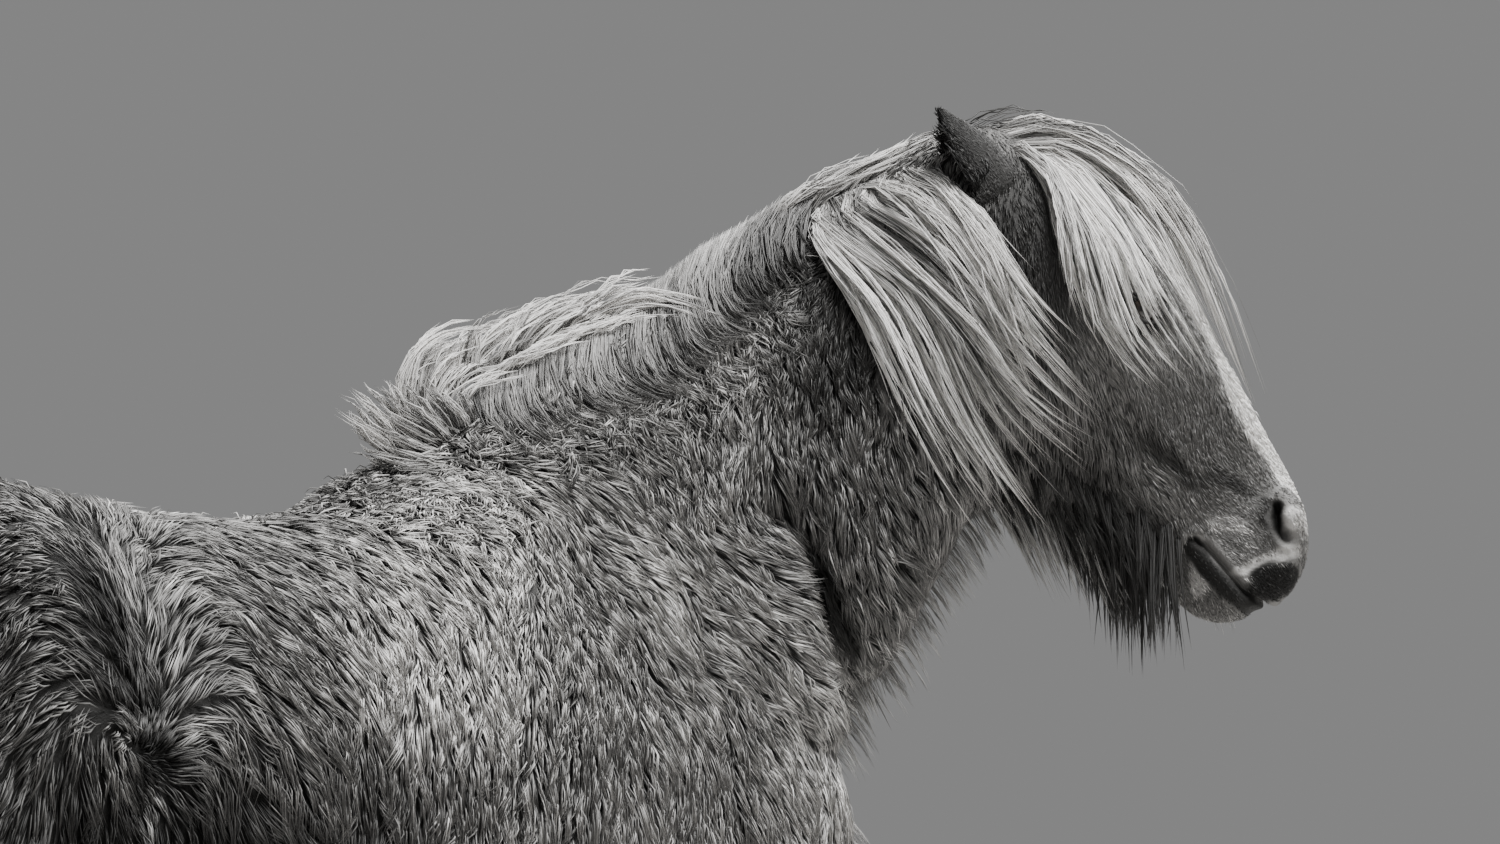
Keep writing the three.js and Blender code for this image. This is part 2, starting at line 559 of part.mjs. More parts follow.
const grown = (locks, grow = 0) => locks.map(({ path, facing, size }) => lock(path, facing, size, grow));
const MANE_LOCK = { width: 34, depth: 9, rows: 6, root: 0.3 };
const CREST_LOCK = { width: 52, depth: 8, rows: 4, root: 0.5 };
const maneLocks = [
  ...coiffure({
    strokes: MANE_STROKES, count: 15, seed: 5, size: MANE_LOCK, tiers: [14, 30, 21], spread: 4,
    overhang: true,
  }),
  ...coiffure({
    strokes: MANE_STROKES, count: 5, seed: 6, near: -1, size: { ...MANE_LOCK, width: 54 }, tiers: [9, 20],
    spread: 5, reach: 0.7, overhang: true,
  }),
  ...coiffure({
    strokes: CREST_STROKES, count: 9, seed: 7, size: CREST_LOCK, tiers: [13, 19], spread: 2,
  }),
  ...coiffure({
    strokes: CREST_STROKES, count: 5, seed: 8, near: -1, size: { ...CREST_LOCK, width: 70 }, tiers: [13, 19],
    spread: 2,
  }),
  ...coiffure({
    strokes: WIND_STROKES, count: 12, seed: 9, size: { width: 42, depth: 9, rows: 4, root: 0.4 },
    tiers: [-10, 1, 11],
    spread: 3,
  }),
  ...coiffure({
    strokes: TUFT_STROKES, count: 8, seed: 10, size: { width: 27, depth: 9, rows: 4, root: 0.4 },
    tiers: [-9, 1, 10],
    spread: 2,
  }),
];
const FORELOCK_LOCK = { width: 33, depth: 9, rows: 6, root: 0.35 };
const forelockLocks = [
  ...coiffure({
    strokes: FORELOCK_STROKES, count: 10, seed: 15, size: FORELOCK_LOCK, tiers: [8, 28, 18], spread: 3,
  }),
  ...coiffure({
    strokes: FORELOCK_STROKES.slice(2), count: 4, seed: 16, near: -1, size: { ...FORELOCK_LOCK, width: 54 },
    tiers: [8, 19], spread: 3, reach: 0.8,
  }),
];
// The beard is longest under the chin groove.
const beardLength = (step) => 44 + 42 * Math.exp(-(((step - 0.72) / 0.2) ** 2));
const beardLocks = fringe({
  surface: headSurface, around: [168, 192], along: [0.38, 0.78], count: 12, seed: 21, length: beardLength,
  size: { width: 42, depth: 9, rows: 3 },
});
const throatLocks = fringe({
  surface: neckSurface, around: [170, 190], along: [0.3, 0.78], count: 13, seed: 22, length: () => 74,
  size: { width: 60, depth: 9, rows: 3 }, stand: 0.7,
});
const bellyLocks = fringe({
  surface: trunkSurface, around: [171, 189], along: [0.26, 0.95], count: 18, seed: 23, lean: -0.6, stand: 0.5,
  length: () => 88, size: { width: 106, depth: 15, rows: 3 },
});

const torso = join([
  body.intersect(behindNeckRoot),
  join(grown(bellyLocks)).subtract(neckZone),
]);
const headLocks = [...forelockLocks, ...beardLocks];
const neckHair = join(grown([...maneLocks, ...throatLocks]))
  .subtract(join([torsoSpace, headZone, earSpace, ...grown(headLocks, JOINT_GAP)]));
const neck = join([
  body.intersect(inFrontOfNeckRoot).intersect(behindHead).subtract(earSpace),
  neckHair,
]);

const brows = SIDES.map(({ side }) => (
  headBall([EYE.x - 2, side * (EYE.y - 6), EYE.z + 4], [36, 27, 27], 0, [10, 6])));
const lids = SIDES.map(({ side }) => headBall([EYE.x, side * EYE.y, EYE.z], [25, 22, 21], 0, [12, 6]));
const sockets = SIDES.map(({ side }) => (
  headBall([EYE.x, side * EYE.y, EYE.z], new Array(3).fill(EYE_RADIUS + JOINT_GAP), 0, EYE_FACETS)));
const lidOpenings = SIDES.map(({ side }) => (
  headBall([EYE.x, side * (EYE.y + 22), EYE.z], [17, 22, 9.5], LID_SLANT, [10, 6])));
const nostrilRims = SIDES.map(({ side }) => (
  headBall([NOSTRIL.x, side * NOSTRIL.y, NOSTRIL.z], [17, 15, 31], NOSTRIL_SLANT, [10, 6])));
const nostrils = SIDES.map(({ side }) => (
  headBall([NOSTRIL.x + 3, side * (NOSTRIL.y + 9), NOSTRIL.z], [8.5, 16, 22], NOSTRIL_SLANT, [8, 6])));
const mouth = loft(mouthStations(), [8, 6]).subtract(loft(headStations, FACETS.head, -LIP_DEPTH));
const face = join([body, ...brows, ...lids, ...nostrilRims]).subtract(join([...nostrils, mouth]));
const headHair = join(grown(headLocks)).subtract(join([earSpace, neckZone]));
const head = join([face.subtract(join([...sockets, ...lidOpenings])).intersect(inFrontOfThroat), headHair])
  .subtract(join(sockets));

const horse = new THREE.Group();
function addPart(name, manifold, material) {
  const mesh = meshOf(largest(manifold));
  mesh.material = material;
  mesh.name = name;
  horse.add(mesh);
}

addPart('torso', torso, coat);
addPart('neck', neck, coat);
addPart('head', head, darkCoat);
SIDES.forEach(({ name, side }, index) => {
  const ball = headBall([EYE.x, side * EYE.y, EYE.z], new Array(3).fill(EYE_RADIUS), 0, EYE_FACETS);
  addPart(`ear_${name}`, ears[index].subtract(earCups[index]).subtract(headSpace), darkCoat);
  addPart(`eye_${name}`, ball, eyeball);
});

const below = (height) => behind(vector(0, 0, height), up, JOINT_GAP / 2);
const above = (height) => infrontOf(vector(0, 0, height), up, JOINT_GAP / 2);
legs.forEach((leg, index) => {
  const stride = STRIDES[leg.name];
  const hoof = (grow) => loft(hoofStations(leg.left, leg.heel + stride), FACETS.hoof, grow);
  const feathers = fringe({
    surface: surfaceOf(legStations(leg.table, leg.left, stride, LEG_LEAN_TOP)),
    around: [135, 225], along: FEATHER_STRETCH, count: 7, seed: 31 + index, flat: 'out', lean: -0.1,
    stand: 0.35, length: () => 84, size: { width: 40, depth: 12, rows: 3 },
  });
  const cannon = leg.form.intersect(below(leg.joint)).intersect(above(HOOF_TOP))
    .add(join(grown(feathers)).subtract(hoof(JOINT_GAP)));
  const upper = leg.form.intersect(below(leg.cut)).intersect(above(leg.joint)).subtract(trunkSpace);
  addPart(leg.upper, upper, coat);
  addPart(`cannon_${leg.name}`, cannon, darkCoat);
  addPart(`hoof_${leg.name}`, hoof(0).intersect(below(HOOF_TOP)).intersect(infrontOf(vector(), up)), horn);
});

const tailSurface = surfaceOf(tailStations);
const dockSurface = surfaceOf(dockStations);
function tailLocks({ count, seed, size, tiers }) {
  const draw = seeded(seed);
  return new Array(count).fill(0).map((_, index) => {
    const turn = (2 * Math.PI * (index + draw(-0.2, 0.2))) / count;
    const start = draw(0.26, 0.42);
    const end = draw(0.82, 0.99);
    const tier = tiers[index % tiers.length];
    const path = new Array(size.rows + 1).fill(0).map((_row, step) => {
      const along = THREE.MathUtils.lerp(start, end, step / size.rows);
      if (step === 0) return dockSurface(turn, Math.min(0.6, along * 1.4), -16);
      return tailSurface(turn, along, -tier * Math.min(1, step / 2));
    });
    const out = vector(-Math.cos(turn), -Math.sin(turn), 0);
    return { path, facing: [out, out], size };
  });
}
const TAIL_LOCK = { width: 58, depth: 15, rows: 6, root: 0.4 };
const tailHair = grown(tailLocks({ count: 15, seed: 41, size: TAIL_LOCK, tiers: [4, 22] }));
addPart('tail', loft(dockStations, FACETS.tail).add(join(tailHair)).subtract(trunkSpace), paleHair);

const bounds = new THREE.Box3().setFromObject(horse);
const centre = bounds.getCenter(vector());
horse.position.set(-centre.x, -centre.y, -bounds.min.z);

export default horse;
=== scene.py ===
import math

import bmesh
import bpy
import numpy as np
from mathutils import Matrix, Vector
from mathutils.bvhtree import BVHTree
from mathutils.kdtree import KDTree


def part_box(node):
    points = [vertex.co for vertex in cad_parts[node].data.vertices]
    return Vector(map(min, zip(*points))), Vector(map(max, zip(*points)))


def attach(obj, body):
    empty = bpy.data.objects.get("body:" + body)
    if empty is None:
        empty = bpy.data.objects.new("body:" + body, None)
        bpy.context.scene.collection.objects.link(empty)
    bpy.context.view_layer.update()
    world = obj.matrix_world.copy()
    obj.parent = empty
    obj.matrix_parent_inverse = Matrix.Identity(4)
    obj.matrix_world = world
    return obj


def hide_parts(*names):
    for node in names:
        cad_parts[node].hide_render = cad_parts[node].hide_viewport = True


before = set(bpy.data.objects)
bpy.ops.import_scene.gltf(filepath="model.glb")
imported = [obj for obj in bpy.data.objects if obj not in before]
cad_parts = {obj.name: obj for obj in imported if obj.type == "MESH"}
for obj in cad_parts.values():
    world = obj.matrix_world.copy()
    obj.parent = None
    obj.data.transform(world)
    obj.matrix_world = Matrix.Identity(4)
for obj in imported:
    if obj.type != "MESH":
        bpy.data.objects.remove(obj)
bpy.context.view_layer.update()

bl_info = {
    "name": "Icelandic horse",
    "version": (1, 0, 0),
    "blender": (4, 5, 0),
    "location": "View3D > Sidebar > Horse",
    "description": "A life-size horse in its winter coat, with skin, hair, eyes, hooves and a plain studio",
    "category": "Object",
}

# Lengths are millimetres in the horse's own layout: X forward from the withers, Y to its left, Z up from the
# floor. SHIFT, measured on the right eye, brings that layout to the frame that the solids are packed in.
PER_METRE = 1000.0
POLL = np.array([591.0, -178.0, 1637.0])
TURN, HEAD_TURN, HEAD_DROP = (math.radians(angle) for angle in (38, 41, 55))
UPWARD = np.array([0.0, 0.0, 1.0])
FACE_LEVEL = np.array([math.cos(HEAD_TURN), -math.sin(HEAD_TURN), 0.0])
HEAD_AXES = np.array([
    math.cos(HEAD_DROP) * FACE_LEVEL - math.sin(HEAD_DROP) * UPWARD,
    [math.sin(HEAD_TURN), math.cos(HEAD_TURN), 0.0],
    math.sin(HEAD_DROP) * FACE_LEVEL + math.cos(HEAD_DROP) * UPWARD,
])
# The left eye and nostril in the head's frame.
EYE = np.array([192.0, 86.0, 56.0])
EYE_RADIUS = 18.0
NOSTRIL = np.array([447.0, 44.0, 50.0])


def mirrored(place, side):
    """A place of the left side, on the side that is 1 for left and -1 for right."""
    return np.asarray(place, float) * [1, side, 1]


def ahead(points):
    """Points of the head's frame (along the face, left, out of the forehead) in the horse's layout."""
    return POLL + np.asarray(points, float) @ HEAD_AXES


def in_head(points):
    """The opposite of ahead."""
    return (np.asarray(points, float) - POLL) @ HEAD_AXES.T


def box_middle(node):
    low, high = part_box(node)
    return (np.array(low) + np.array(high)) / 2 * PER_METRE


SHIFT = box_middle("eye_right") - ahead(mirrored(EYE, -1))


def to_frame(points):
    return (np.asarray(points, float) + SHIFT) / PER_METRE


def from_frame(points):
    return np.asarray(points, float) * PER_METRE - SHIFT


# The photograph's view: level, from the horse's right, 38 degrees ahead of square.
PHOTO_SIZE = (1500, 844)
VIEW_RIGHT = np.array([math.cos(TURN), -math.sin(TURN), 0.0])
VIEW_IN = np.array([math.sin(TURN), math.cos(TURN), 0.0])
VIEW_HEIGHT, VIEW_ACROSS, VIEW_DISTANCE = 1400.0, 340.0, 7784.0
FOCAL_PIXELS = 8000.0
VIEW_FROM = VIEW_RIGHT * VIEW_ACROSS - VIEW_IN * VIEW_DISTANCE + UPWARD * VIEW_HEIGHT

# Outlines. Each station is (top point, bottom point, half width, squareness, lean of the width to the top).
TRUNK = [
    ((-925, 1112), (-925, 1088), 14, 1, 0),
    ((-904, 1205), (-900, 985), 118, 0.95, 0),
    ((-842, 1276), (-850, 905), 182, 0.9, 0.05),
    ((-720, 1334), (-730, 845), 226, 0.86, 0.06),
    ((-585, 1356), (-590, 805), 246, 0.84, 0.06),
    ((-470, 1350), (-470, 782), 250, 0.85, 0),
    ((-355, 1329), (-350, 756), 262, 0.88, -0.06),
    ((-225, 1315), (-220, 728), 282, 0.92, -0.12),
    ((-100, 1325), (-90, 714), 280, 0.94, -0.2),
    ((-15, 1366), (30, 716), 264, 0.96, -0.3),
    ((95, 1362), (150, 730), 240, 0.95, -0.34),
    ((215, 1316), (265, 757), 220, 0.92, -0.3),
    ((330, 1245), (365, 802), 200, 0.9, -0.15),
    ((425, 1160), (445, 868), 162, 0.9, -0.05),
    ((482, 1080), (490, 940), 88, 0.95, 0),
    ((500, 1022), (502, 1000), 12, 1, 0),
]
# The neck bends: (crest, throat, half width, squareness, lean, degrees of turn).
NECK = [
    ((-150, 0, 1270), (200, 0, 900), 60, 1, 0, 0),
    ((-60, 0, 1335), (350, 0, 950), 172, 0.95, -0.3, 0),
    ((50, 0, 1398), (448, -6, 1022), 170, 0.95, -0.4, 3),
    ((165, -3, 1458), (487, -42, 1085), 150, 0.95, -0.46, 12),
    ((280, -18, 1519), (521, -76, 1135), 133, 0.95, -0.48, 20),
    ((385, -52, 1580), (546, -116, 1193), 122, 0.93, -0.45, 27),
    ((470, -92, 1616), (570, -146, 1252), 115, 0.92, -0.38, 33),
    ((545, -140, 1645), (588, -168, 1300), 110, 0.9, -0.25, 38),
    ((615, -196, 1640), (640, -214, 1345), 92, 0.9, 0, 38),
    ((650, -225, 1580), (660, -232, 1420), 20, 1, 0, 38),
]
# The head in its own frame: (along, above the axis) from the poll to the lips.
HEAD = [
    ((-78, 0), (-70, -90), 14, 1, 0),
    ((-38, 48), (-35, -150), 74, 0.95, 0),
    ((25, 76), (25, -188), 95, 0.9, 0.05),
    ((90, 99), (90, -200), 106, 0.85, 0.1),
    ((150, 109), (150, -197), 111, 0.8, 0.14),
    ((205, 108), (205, -186), 109, 0.8, 0.16),
    ((260, 103), (262, -163), 94, 0.82, 0.12),
    ((315, 97), (318, -132), 76, 0.84, 0.06),
    ((365, 91), (368, -108), 64, 0.86, 0),
    ((410, 87), (412, -92), 59, 0.86, 0),
    ((450, 79), (450, -87), 61, 0.84, 0),
    ((482, 61), (478, -78), 60, 0.84, 0),
    ((502, 38), (494, -62), 50, 0.86, 0),
    ((511, 16), (505, -38), 30, 0.9, 0),
    ((513, -4), (511, -18), 6, 1, 0),
]
# Legs run down: (front point, back point, half width, squareness, lean, distance from the middle plane).
FRONT_LEG = [
    ((190, 1330), (150, 1325), 14, 1, 0, 96),
    ((268, 1262), (75, 1235), 46, 1, 0, 112),
    ((352, 1160), (62, 1110), 74, 1, 0, 124),
    ((400, 1040), (80, 980), 88, 0.95, 0, 132),
    ((398, 925), (100, 870), 84, 0.92, 0, 140),
    ((322, 826), (112, 792), 70, 0.92, 0, 146),
    ((272, 720), (130, 705), 58, 0.95, 0, 145),
    ((256, 610), (148, 602), 48, 1, 0, 141),
    ((249, 505), (160, 498), 43, 1, 0, 136),
    ((253, 452), (160, 445), 47, 0.95, 0, 134),
    ((241, 396), (165, 390), 38, 1, 0, 133),
    ((228, 320), (169, 315), 31, 1, 0, 132),
    ((228, 252), (165, 246), 33, 1, 0, 131),
    ((237, 206), (157, 198), 40, 1, 0, 130),
    ((253, 166), (177, 150), 36, 1, 0, 130),
    ((272, 127), (194, 107), 39, 1, 0, 130),
    ((288, 92), (205, 72), 47, 1, 0, 130),
    ((270, 45), (240, 40), 14, 1, 0, 130),
]
HIND_LEG = [
    ((-500, 1290), (-600, 1290), 14, 1, 0, 120),
    ((-420, 1200), (-780, 1190), 84, 0.9, 0, 138),
    ((-392, 1085), (-878, 1075), 100, 0.88, 0, 148),
    ((-380, 970), (-884, 965), 100, 0.88, 0, 152),
    ((-388, 875), (-862, 880), 88, 0.9, 0, 150),
    ((-455, 790), (-834, 806), 74, 0.95, 0, 145),
    ((-575, 700), (-818, 734), 60, 1, 0, 140),
    ((-675, 612), (-838, 660), 50, 1, 0, 136),
    ((-732, 545), (-872, 592), 46, 1, 0, 133),
    ((-748, 488), (-852, 502), 42, 1, 0, 131),
    ((-757, 420), (-829, 425), 34, 1, 0, 130),
    ((-757, 332), (-823, 332), 32, 1, 0, 130),
    ((-754, 252), (-826, 250), 34, 1, 0, 130),
    ((-745, 206), (-834, 199), 42, 1, 0, 130),
    ((-726, 166), (-808, 149), 37, 1, 0, 130),
    ((-705, 127), (-788, 106), 40, 1, 0, 130),
    ((-690, 92), (-776, 72), 47, 1, 0, 130),
    ((-710, 45), (-740, 40), 14, 1, 0, 130),
]
LEG_LEAN_TOP = 900.0  # below this height a leg leans to where its foot stands
# Each leg's stations, its side, and how far ahead of them its foot stands.
LEGS = {
    "front_left": (FRONT_LEG, 1, 45),
    "front_right": (FRONT_LEG, -1, -25),
    "hind_left": (HIND_LEG, 1, -35),
    "hind_right": (HIND_LEG, -1, 60),
}
# The tail's dock, and how far its hair reaches out.
DOCK = [
    ((-760, 1262), (-780, 1188), 14, 1, 0),
    ((-850, 1262), (-850, 1188), 34, 1, 0),
    ((-926, 1228), (-888, 1168), 34, 1, 0),
    ((-968, 1150), (-922, 1118), 34, 1, 0),
    ((-984, 1030), (-944, 1015), 34, 1, 0),
    ((-992, 880), (-958, 870), 30, 1, 0),
    ((-990, 760), (-972, 758), 8, 1, 0),
]
TAIL = [
    ((-800, 1272), (-800, 1180), 30, 1, 0),
    ((-868, 1270), (-862, 1172), 46, 1, 0),
    ((-936, 1240), (-884, 1150), 52, 1, 0),
    ((-986, 1160), (-910, 1105), 60, 1, 0),
    ((-1016, 1040), (-927, 1015), 74, 1, 0),
    ((-1036, 880), (-938, 870), 92, 1, 0),
    ((-1048, 700), (-944, 695), 104, 1, 0),
    ((-1054, 520), (-950, 518), 106, 1, 0),
    ((-1054, 380), (-958, 380), 96, 1, 0),
    ((-1048, 240), (-970, 240), 72, 1, 0),
]
# The left ear in the head's frame: root, tip, the way it opens, then half widths and depths from root to tip.
EAR_ROOT, EAR_TIP, EAR_OPENING = (16, 56, 12), (-84, 92, 8), (-0.55, 0.34, -0.77)
EAR_WIDTHS, EAR_DEPTHS = (24, 30, 32, 30, 24, 14, 3), (48, 52, 50, 44, 32, 18, 4)
EAR_FORWARD = 0.56  # share of its depth by which the ear stands ahead of its axis
EAR_LEAF = 4.5  # how thick the ear's leaf is


def unit(vectors):
    vectors = np.asarray(vectors, float)
    return vectors / np.maximum(np.linalg.norm(vectors, axis=-1, keepdims=True), 1e-9)


def spline(points, places):
    """A uniform Catmull-Rom curve through the points, at places from 0 to 1."""
    points = np.asarray(points, float)
    padded = np.vstack([2 * points[0] - points[1], points, 2 * points[-1] - points[-2]])
    scaled = np.clip(places, 0, 1) * (len(points) - 1)
    first = np.minimum(scaled.astype(int), len(points) - 2)
    part = (scaled - first)[..., None]
    a, b, c, d = (padded[first + step] for step in range(4))
    return 0.5 * (2 * b + (c - a) * part + (2 * a - 5 * b + 4 * c - d) * part**2
                  + (3 * b - a - 3 * c + d) * part**3)


POLE = 1e-6  # nearer than this to either end of a form its skin closes to a point


class Form:
    """A body form lofted through stations, with a skin point for each angle around and place along."""

    def __init__(self, tops, bottoms, sides, shapes):
        self.tops, self.bottoms = np.asarray(tops, float), np.asarray(bottoms, float)
        self.sides, self.shapes = np.asarray(sides, float), np.asarray(shapes, float)

    def skin(self, around, along, grow=0.0):
        top, bottom = spline(self.tops, along), spline(self.bottoms, along)
        side, shape = unit(spline(self.sides, along)), spline(self.shapes, along)
        up = (top - bottom) / 2
        reach = np.linalg.norm(up, axis=-1)
        square, lean = shape[..., 1], shape[..., 2]
        high = np.sign(np.cos(around)) * np.abs(np.cos(around)) ** square
        wide = np.sign(np.sin(around)) * np.abs(np.sin(around)) ** square * (1 + lean * np.cos(around))
        inside = ((along > POLE) & (along < 1 - POLE)).astype(float)
        return ((top + bottom) / 2
                + up / reach[..., None] * ((reach + grow) * high * inside)[..., None]
                + side * ((shape[..., 0] + grow) * wide * inside)[..., None])


def flat_form(table):
    tops = [(x, 0, z) for (x, z), *_ in table]
    bottoms = [(x, 0, z) for _, (x, z), *_ in table]
    return Form(tops, bottoms, [(0, 1, 0)] * len(table), [row[2:5] for row in table])


def neck_form():
    turns = [math.radians(row[5]) for row in NECK]
    sides = [(math.sin(a), math.cos(a), 0) for a in turns]
    return Form([row[0] for row in NECK], [row[1] for row in NECK], sides, [row[2:5] for row in NECK])


def head_form():
    tops = ahead([(x, 0, z) for (x, z), *_ in HEAD])
    bottoms = ahead([(x, 0, z) for _, (x, z), *_ in HEAD])
    return Form(tops, bottoms, [HEAD_AXES[1]] * len(HEAD), [row[2:5] for row in HEAD])


def leg_form(name):
    table, side, stride = LEGS[name]

    def placed(x, z, out):
        return x + stride * min(max(1 - z / LEG_LEAN_TOP, 0), 1), side * out, z

    tops = [placed(*front, out) for front, _, _, _, _, out in table]
    bottoms = [placed(*back, out) for _, back, _, _, _, out in table]
    return Form(tops, bottoms, [(0, 1, 0)] * len(table), [row[2:5] for row in table])


def ear_form(side):
    root, tip = mirrored(EAR_ROOT, side), mirrored(EAR_TIP, side)
    axis = unit(tip - root)
    opening = mirrored(EAR_OPENING, side)
    opening = unit(opening - opening @ axis * axis)
    across = np.cross(axis, opening)
    places = np.linspace(0, 1, len(EAR_WIDTHS))
    reach = np.outer(EAR_DEPTHS, opening)
    centres = root + np.outer(places, tip - root) + reach * EAR_FORWARD
    sides = np.tile(across @ HEAD_AXES, (len(EAR_WIDTHS), 1))
    shapes = [(half, 1, 0) for half in EAR_WIDTHS]
    return Form(ahead(centres + reach), ahead(centres - reach), sides, shapes)


TRUNK_FORM, NECK_FORM, HEAD_FORM = flat_form(TRUNK), neck_form(), head_form()
LEG_FORMS = {name: leg_form(name) for name in LEGS}
DOCK_FORM, TAIL_FORM = flat_form(DOCK), flat_form(TAIL)

# The middle plane is straight to the neck's root, bends on an arc, and is straight again in the head.
BEND_START, BEND_LENGTH = 120.0, 470.0
BEND_RADIUS = BEND_LENGTH / TURN


def unbend(points):
    """Places of points measured along the bent middle plane, out from it to the left, and up."""
    points = np.asarray(points, float)
    x, y, z = points[..., 0] - BEND_START, points[..., 1] + BEND_RADIUS, points[..., 2]
    angle = np.clip(np.arctan2(x, np.maximum(y, 1.0)), 0, TURN)
    angle = np.where(x < 0, 0.0, angle)
    centre = np.stack([BEND_RADIUS * np.sin(angle), BEND_RADIUS * np.cos(angle)], -1)
    forward = np.stack([np.cos(angle), -np.sin(angle)], -1)
    left = np.stack([np.sin(angle), np.cos(angle)], -1)
    offset = np.stack([x, y], -1) - centre
    along = BEND_START + BEND_RADIUS * angle + np.sum(offset * forward, -1)
    out = np.sum(offset * left, -1)
    zero = np.zeros_like(along)[..., None]
    frames = np.stack([
        np.concatenate([forward, zero], -1),
        np.concatenate([left, zero], -1),
        np.broadcast_to([0.0, 0.0, 1.0], points.shape),
    ], -2)
    return np.stack([along, out, z], -1), frames


# What is made once and used again: the skin's points and faces, the coat's lie and each material.
BUILT = {}


def spread(low, high, value):
    """0 up to low, 1 from high on, and a smooth step between."""
    part = np.clip((value - low) / (high - low), 0, 1)
    return part * part * (3 - 2 * part)


def soft(distance, width, power=2):
    """1 at no distance, and fading away over about a width."""
    return np.exp(-((distance / width) ** power))


def towards(value, goal, share):
    return value + (goal - value) * share


WAVES = 5  # waves that are added up in the noise


def waves(points, size, seed):
    """Smooth seeded noise from about -1 to 1 whose lumps are as wide as size."""
    draw = np.random.default_rng(seed)
    directions = unit(draw.normal(size=(WAVES, 3))) * draw.uniform(0.7, 1.4, (WAVES, 1))
    phases = draw.uniform(0, 2 * math.pi, WAVES)
    return np.sin(points @ directions.T * (math.pi / size) + phases).sum(-1) / math.sqrt(WAVES)


def bend(places):
    """The opposite of unbend, for places along, out and up."""
    along, out, up = (np.asarray(places, float)[..., axis] for axis in range(3))
    angle = np.clip((along - BEND_START) / BEND_LENGTH, 0, 1) * TURN
    extra = np.where(along < BEND_START, along - BEND_START, np.maximum(along - BEND_START - BEND_LENGTH, 0))
    x = BEND_START + (BEND_RADIUS + out) * np.sin(angle) + extra * np.cos(angle)
    y = (BEND_RADIUS + out) * np.cos(angle) - BEND_RADIUS - extra * np.sin(angle)
    return np.stack([x, y, up], -1)


def to_right_side(points):
    """The same place on the horse's right side, which the photograph shows."""
    places, _ = unbend(points)
    places[..., 1] = -np.abs(places[..., 1])
    return bend(places)


def to_photo(points):
    """Column and row of points in the photograph."""
    offset = np.asarray(points, float) - VIEW_FROM
    scale = FOCAL_PIXELS / (offset @ VIEW_IN)
    column = PHOTO_SIZE[0] / 2 + scale * (offset @ VIEW_RIGHT)
    return np.stack([column, PHOTO_SIZE[1] / 2 - scale * offset[..., 2]], -1)


def from_srgb(tone):
    tone = np.clip(tone, 0, 1)
    return np.where(tone <= 0.04045, tone / 12.92, ((tone + 0.055) / 1.055) ** 2.4)


def colour(text):
    """A linear colour, with alpha, from sRGB hex."""
    parts = [int(text[place:place + 2], 16) / 255 for place in (1, 3, 5)]
    return tuple(float(part) for part in from_srgb(np.array(parts))) + (1.0,)


# Markings, from the photograph and mirrored to the far side: centre and radii in its columns and rows, turn
# in degrees, then the tone as an sRGB grey. Some of them are painted light and shade, not the coat's colour.
BODY_TONE = 0.52
MARKINGS = {
    "hip": ((30, 680), (118, 165), 0, 0.37),
    "loin": ((170, 540), (170, 50), 5, 0.52),
    # ribs: a painted highlight where light from above falls on the barrel.
    "ribs": ((450, 600), (132, 150), 15, 0.88),
    # low_ribs_shade: painted shade on the barrel's lower side, away from the light overhead.
    "low_ribs_shade": ((300, 800), (190, 90), 0, 0.40),
    # low_flank_shade: painted shadow on the belly's underside.
    "low_flank_shade": ((150, 855), (240, 85), 0, 0.18),
    "shoulder": ((660, 600), (150, 130), 30, 0.57),
    "shoulder_streak": ((640, 570), (75, 28), 60, 0.74),
    # chest: paler, partly the coat and partly a painted highlight where light falls from the front.
    "chest": ((810, 745), (55, 110), 0, 0.68),
    "throat": ((950, 590), (40, 90), 25, 0.50),
    "neck": ((860, 480), (90, 170), -10, 0.42),
    # upper_neck_shade: painted shade in the hollow between crest and mane.
    "upper_neck_shade": ((830, 315), (85, 85), 0, 0.20),
    "cheek": ((1095, 520), (110, 120), 0, 0.36),
    "below_ear": ((1030, 260), (60, 110), 0, 0.26),
    # cheek_highlight: a painted highlight on the cheek.
    "cheek_highlight": ((1166, 482), (52, 20), 42, 0.52),
    "face": ((1195, 440), (60, 90), -30, 0.42),
    # face_groove_shade and nose_groove_shade: painted shade in the grooves of face and nose.
    "face_groove_shade": ((1165, 450), (50, 9), 42, 0.24),
    "nose_groove_shade": ((1224, 478), (32, 8), 28, 0.26),
    "crest_coat": ((640, 355), (200, 70), -20, 0.62),
    # crease_shade: painted shade in the fold between neck and shoulder.
    "crease_shade": ((816, 570), (18, 82), -22, 0.10),
    "flank": ((190, 655), (50, 80), 0, 0.43),
    "flank_top": ((178, 600), (42, 38), 0, 0.54),
    # flank_line_shade: painted shade on the side of the flank's ridge that faces away from the light.
    "flank_line_shade": ((128, 672), (17, 92), -18, 0.22),
    # flank_hollow_shade: painted shade in the hollow at the flank's foot.
    "flank_hollow_shade": ((140, 762), (22, 17), 0, 0.12),
    "stifle_fold": ((143, 808), (12, 40), 28, 0.42),
    # hip_tuft_highlight: a painted highlight where the hip's hair turns outward towards the light.
    "hip_tuft_highlight": ((83, 704), (19, 11), 0, 0.62),
    "hip_tuft_back": ((18, 712), (17, 9), -30, 0.50),
    "hip_tuft_top": ((7, 622), (11, 13), 0, 0.54),
}
MARK_EDGE = (0.45, 1.35)  # shares of its radii between which a mark fades away
FAR_SIDE, FAR_FADING = (20, 90), 0.7  # how far out the far side's dark marks fade, and by what share
LEG_TONE, EAR_TONE = 0.24, 0.27
BLAZE = {
    "from": 60, "to": 462, "half_width": 42, "end_width": 29, "narrows": (300, 400), "ragged": 3, "edge": 7,
    "tone": 1.0,
}


